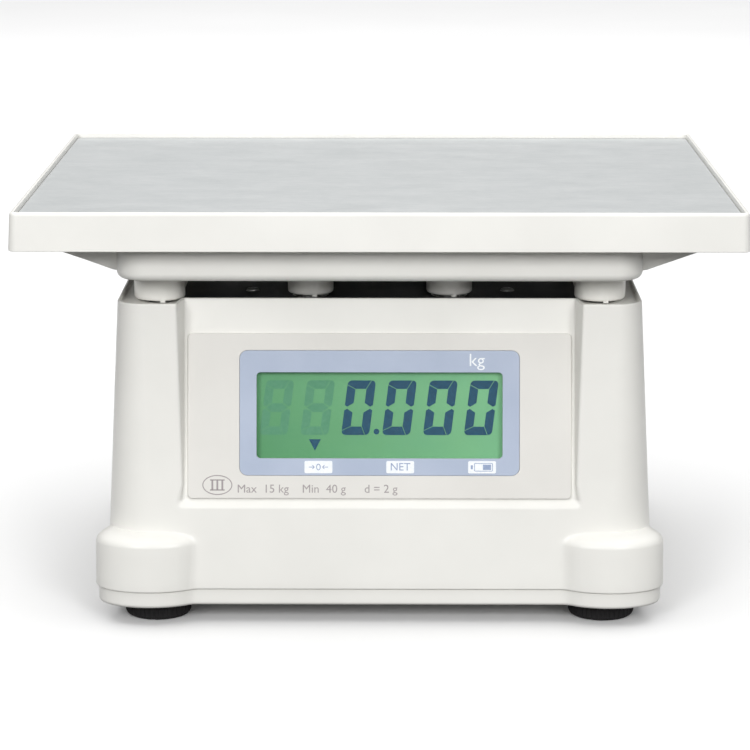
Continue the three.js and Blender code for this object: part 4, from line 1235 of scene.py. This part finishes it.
def power_inlet():
    low, high = box_mm("dc_inlet")
    y, z = middle_mm("dc_inlet").yz
    face = high.x - 1.2
    profile = [(4.6, low.x), (5, low.x + 0.4), (5, face), (6.3, face)]
    profile += [(6.5, face + 0.2), (6.5, high.x - 0.3)]
    profile += [(6.2, high.x), (3.5, high.x), (3.15, high.x - 0.35), (3.15, high.x - 9)]
    piece("inlet_socket", moved(turned(profile, y, z, 40), ALONG_X), "base", "black_plastic", ["dc_inlet"])
    pin = turned([(1, high.x - 9.2), (1, high.x - 2), (0.8, high.x - 1.6), (0.4, high.x - 1.4)], y, z, 20)
    piece("inlet_pin", moved(pin, ALONG_X), "base", "zinc_steel")


def spirit_level():
    """A round level: a rim, green spirit under a ring mark, and a bubble."""
    low, high = box_mm("level_vial")
    x, y = middle_mm("level_vial").xy
    seat = DECK - WALL - 0.3
    profile = [(9.2, low.z), (9.5, low.z + 0.4), (9.5, seat), (8, seat)]
    profile += [(8, high.z - 0.5), (7.7, high.z - 0.1)]
    profile += [(7.4, high.z - 0.05), (6.2, high.z - 0.05), (6.1, high.z - 0.3), (6.1, high.z - 1.2)]
    piece("level_body", turned(profile, x, y, 48), "base", "black_plastic", ["level_vial"])
    spirit = turned([(6, high.z - 1.1), (6, high.z - 0.7), (5.2, high.z - 0.45), (3, high.z - 0.28),
                     (0.4, high.z - 0.24)], x, y, 40)
    obj = piece("level_spirit", spirit, "base", "clear_cover")
    obj.data.materials[0] = SPIRIT
    ring = frame_plate([p[:2] for p in circle(2.7, 0, x, y, 40)], [p[:2] for p in circle(2.4, 0, x, y, 40)],
                       high.z - 0.26, high.z - 0.2)
    obj = piece("level_ring", ring, "base", "black_plastic")
    bubble = turned([(1.7, high.z - 0.4), (1.9, high.z - 0.27), (1.4, high.z - 0.16),
                     (0.4, high.z - 0.1)], x, y, 28)
    obj = piece("level_bubble", bubble, "base", "clear_cover")
    obj.data.materials[0] = WHITE_INK


# ---------------------------------------------------------------- carried-over parts

def finish_carried_nodes():
    """Gives each CAD node its material, and softens the edges of those that stay on show."""
    for part in frame["record"]["subparts"]:
        obj = frame["nodes"][part["node"]]
        obj.data.materials.clear()
        obj.data.materials.append(LOOKS[part["material_slot"]])
        if obj.hide_render:
            continue
        weld = obj.modifiers.new("weld", "WELD")
        weld.merge_threshold = 0.01 * MM
        bevel = obj.modifiers.new("soft edges", "BEVEL")
        bevel.width = 0.25 * MM
        bevel.segments = 2
        bevel.limit_method = "ANGLE"
        bevel.angle_limit = math.radians(40)
        bevel.use_clamp_overlap = True


# ---------------------------------------------------------------- stage

SKY_START, SKY_END = 0.16, 0.42  # heights of the sky's dark and bright edges, as sines
SKY_LOW = 0.03
SKY_MIDDLE = 0.36
SKY_STRENGTH = 1.9
# Each lamp's name, place in metres, width in metres and power in watts.
LAMPS = (
    ("front_left", (-0.75, -1.85, 0.86), 0.6, 16),
    ("front_right", (0.75, -1.85, 0.86), 0.6, 15.5),
    ("front_low", (0.0, -2.3, 0.22), 0.7, 2.2),
    ("back", (0.0, 1.9, 1.5), 1.4, 8),
)


def stage():
    """A plain white floor, a soft sky and four soft lamps."""
    half_size = 14000
    floor = add_object("floor", ([Vector((x * half_size, y * half_size, -0.05)) for x, y in
                                  ((-1, -1), (1, -1), (1, 1), (-1, 1))], [(0, 1, 2, 3)]))
    look = Look("white floor")
    look.use("Base Color", look.tint(look.noise(400, 2), (0.9, 0.9, 0.9, 1), (0.93, 0.93, 0.93, 1)))
    look.use("Roughness", look.spread(look.noise(90, 2), 0.8, 0.95))
    floor.data.materials.append(look.material)
    floor.visible_diffuse = False

    # The sky is dark below the horizon and just over it, so light doesn't creep under the trays.
    world = bpy.data.worlds.new("studio")
    bpy.context.scene.world = world
    world.use_nodes = True
    nodes = world.node_tree.nodes
    links = world.node_tree.links
    background = nodes["Background"]
    direction = nodes.new("ShaderNodeTexCoord").outputs["Generated"]
    split = nodes.new("ShaderNodeSeparateXYZ")
    ramp = nodes.new("ShaderNodeValToRGB")
    links.new(direction, split.inputs["Vector"])
    links.new(split.outputs["Z"], ramp.inputs["Fac"])
    links.new(ramp.outputs["Color"], background.inputs["Color"])
    first, last = ramp.color_ramp.elements
    first.position, last.position = SKY_START, SKY_END
    first.color = (SKY_LOW, SKY_LOW, SKY_LOW, 1)
    last.color = (SKY_MIDDLE, SKY_MIDDLE, SKY_MIDDLE, 1)
    for height, shade in ((0.72, SKY_MIDDLE), (0.95, 1.0)):
        ramp.color_ramp.elements.new(height).color = (shade, shade, shade, 1)
    background.inputs["Strength"].default_value = SKY_STRENGTH

    for name, place, width, power in LAMPS:
        lamp = bpy.data.lights.new(name, "AREA")
        lamp.size = width
        lamp.energy = power
        obj = bpy.data.objects.new(name, lamp)
        obj.location = place
        aim = Vector((0, 0, 0.1)) - obj.location
        obj.rotation_euler = aim.to_track_quat("-Z", "Y").to_euler()
        bpy.context.scene.collection.objects.link(obj)


CAMERA_LENS, CAMERA_SENSOR = 139.0, 36.0  # mm
CAMERA_X, CAMERA_Z = 0.00545, 0.3612
CAMERA_AWAY = 1.1804  # m in front of the case
CAMERA_DOWN, CAMERA_TURN = 12.2, 0.356  # degrees


def camera():
    """A long lens a little above the platter, looking slightly down at the customer side."""
    lens = bpy.data.cameras.new("camera")
    lens.lens = CAMERA_LENS
    lens.sensor_width = CAMERA_SENSOR
    obj = bpy.data.objects.new("camera", lens)
    obj.location = (CAMERA_X, -(CASE_HALF[1] * MM + CAMERA_AWAY), CAMERA_Z)
    obj.rotation_euler = (math.radians(90 - CAMERA_DOWN), 0, math.radians(CAMERA_TURN))
    bpy.context.scene.collection.objects.link(obj)
    bpy.context.scene.camera = obj
    bpy.context.scene.view_settings.view_transform = "Standard"


# ---------------------------------------------------------------- the whole scale

camera()
stage()
upper_case()
shade_sheet_on_deck()
lower_case()
battery_hatch()
screws()
post_pins()
load_cell()
support_tray()
platter_tray()
steel_pan()
for name in DISPLAYS:
    panel(name)
    panel_print(name)
readout("customer", scale=1.0, first=-16.3, foot=-8.2, pitch=17.2, point_gap=2.2)
readout("operator", scale=0.9, first=-8.0, foot=0.4, pitch=15.5, point_gap=2.0)
keys()
for name in CORNERS:
    foot(name)
power_switch()
power_inlet()
spirit_level()
finish_carried_nodes()
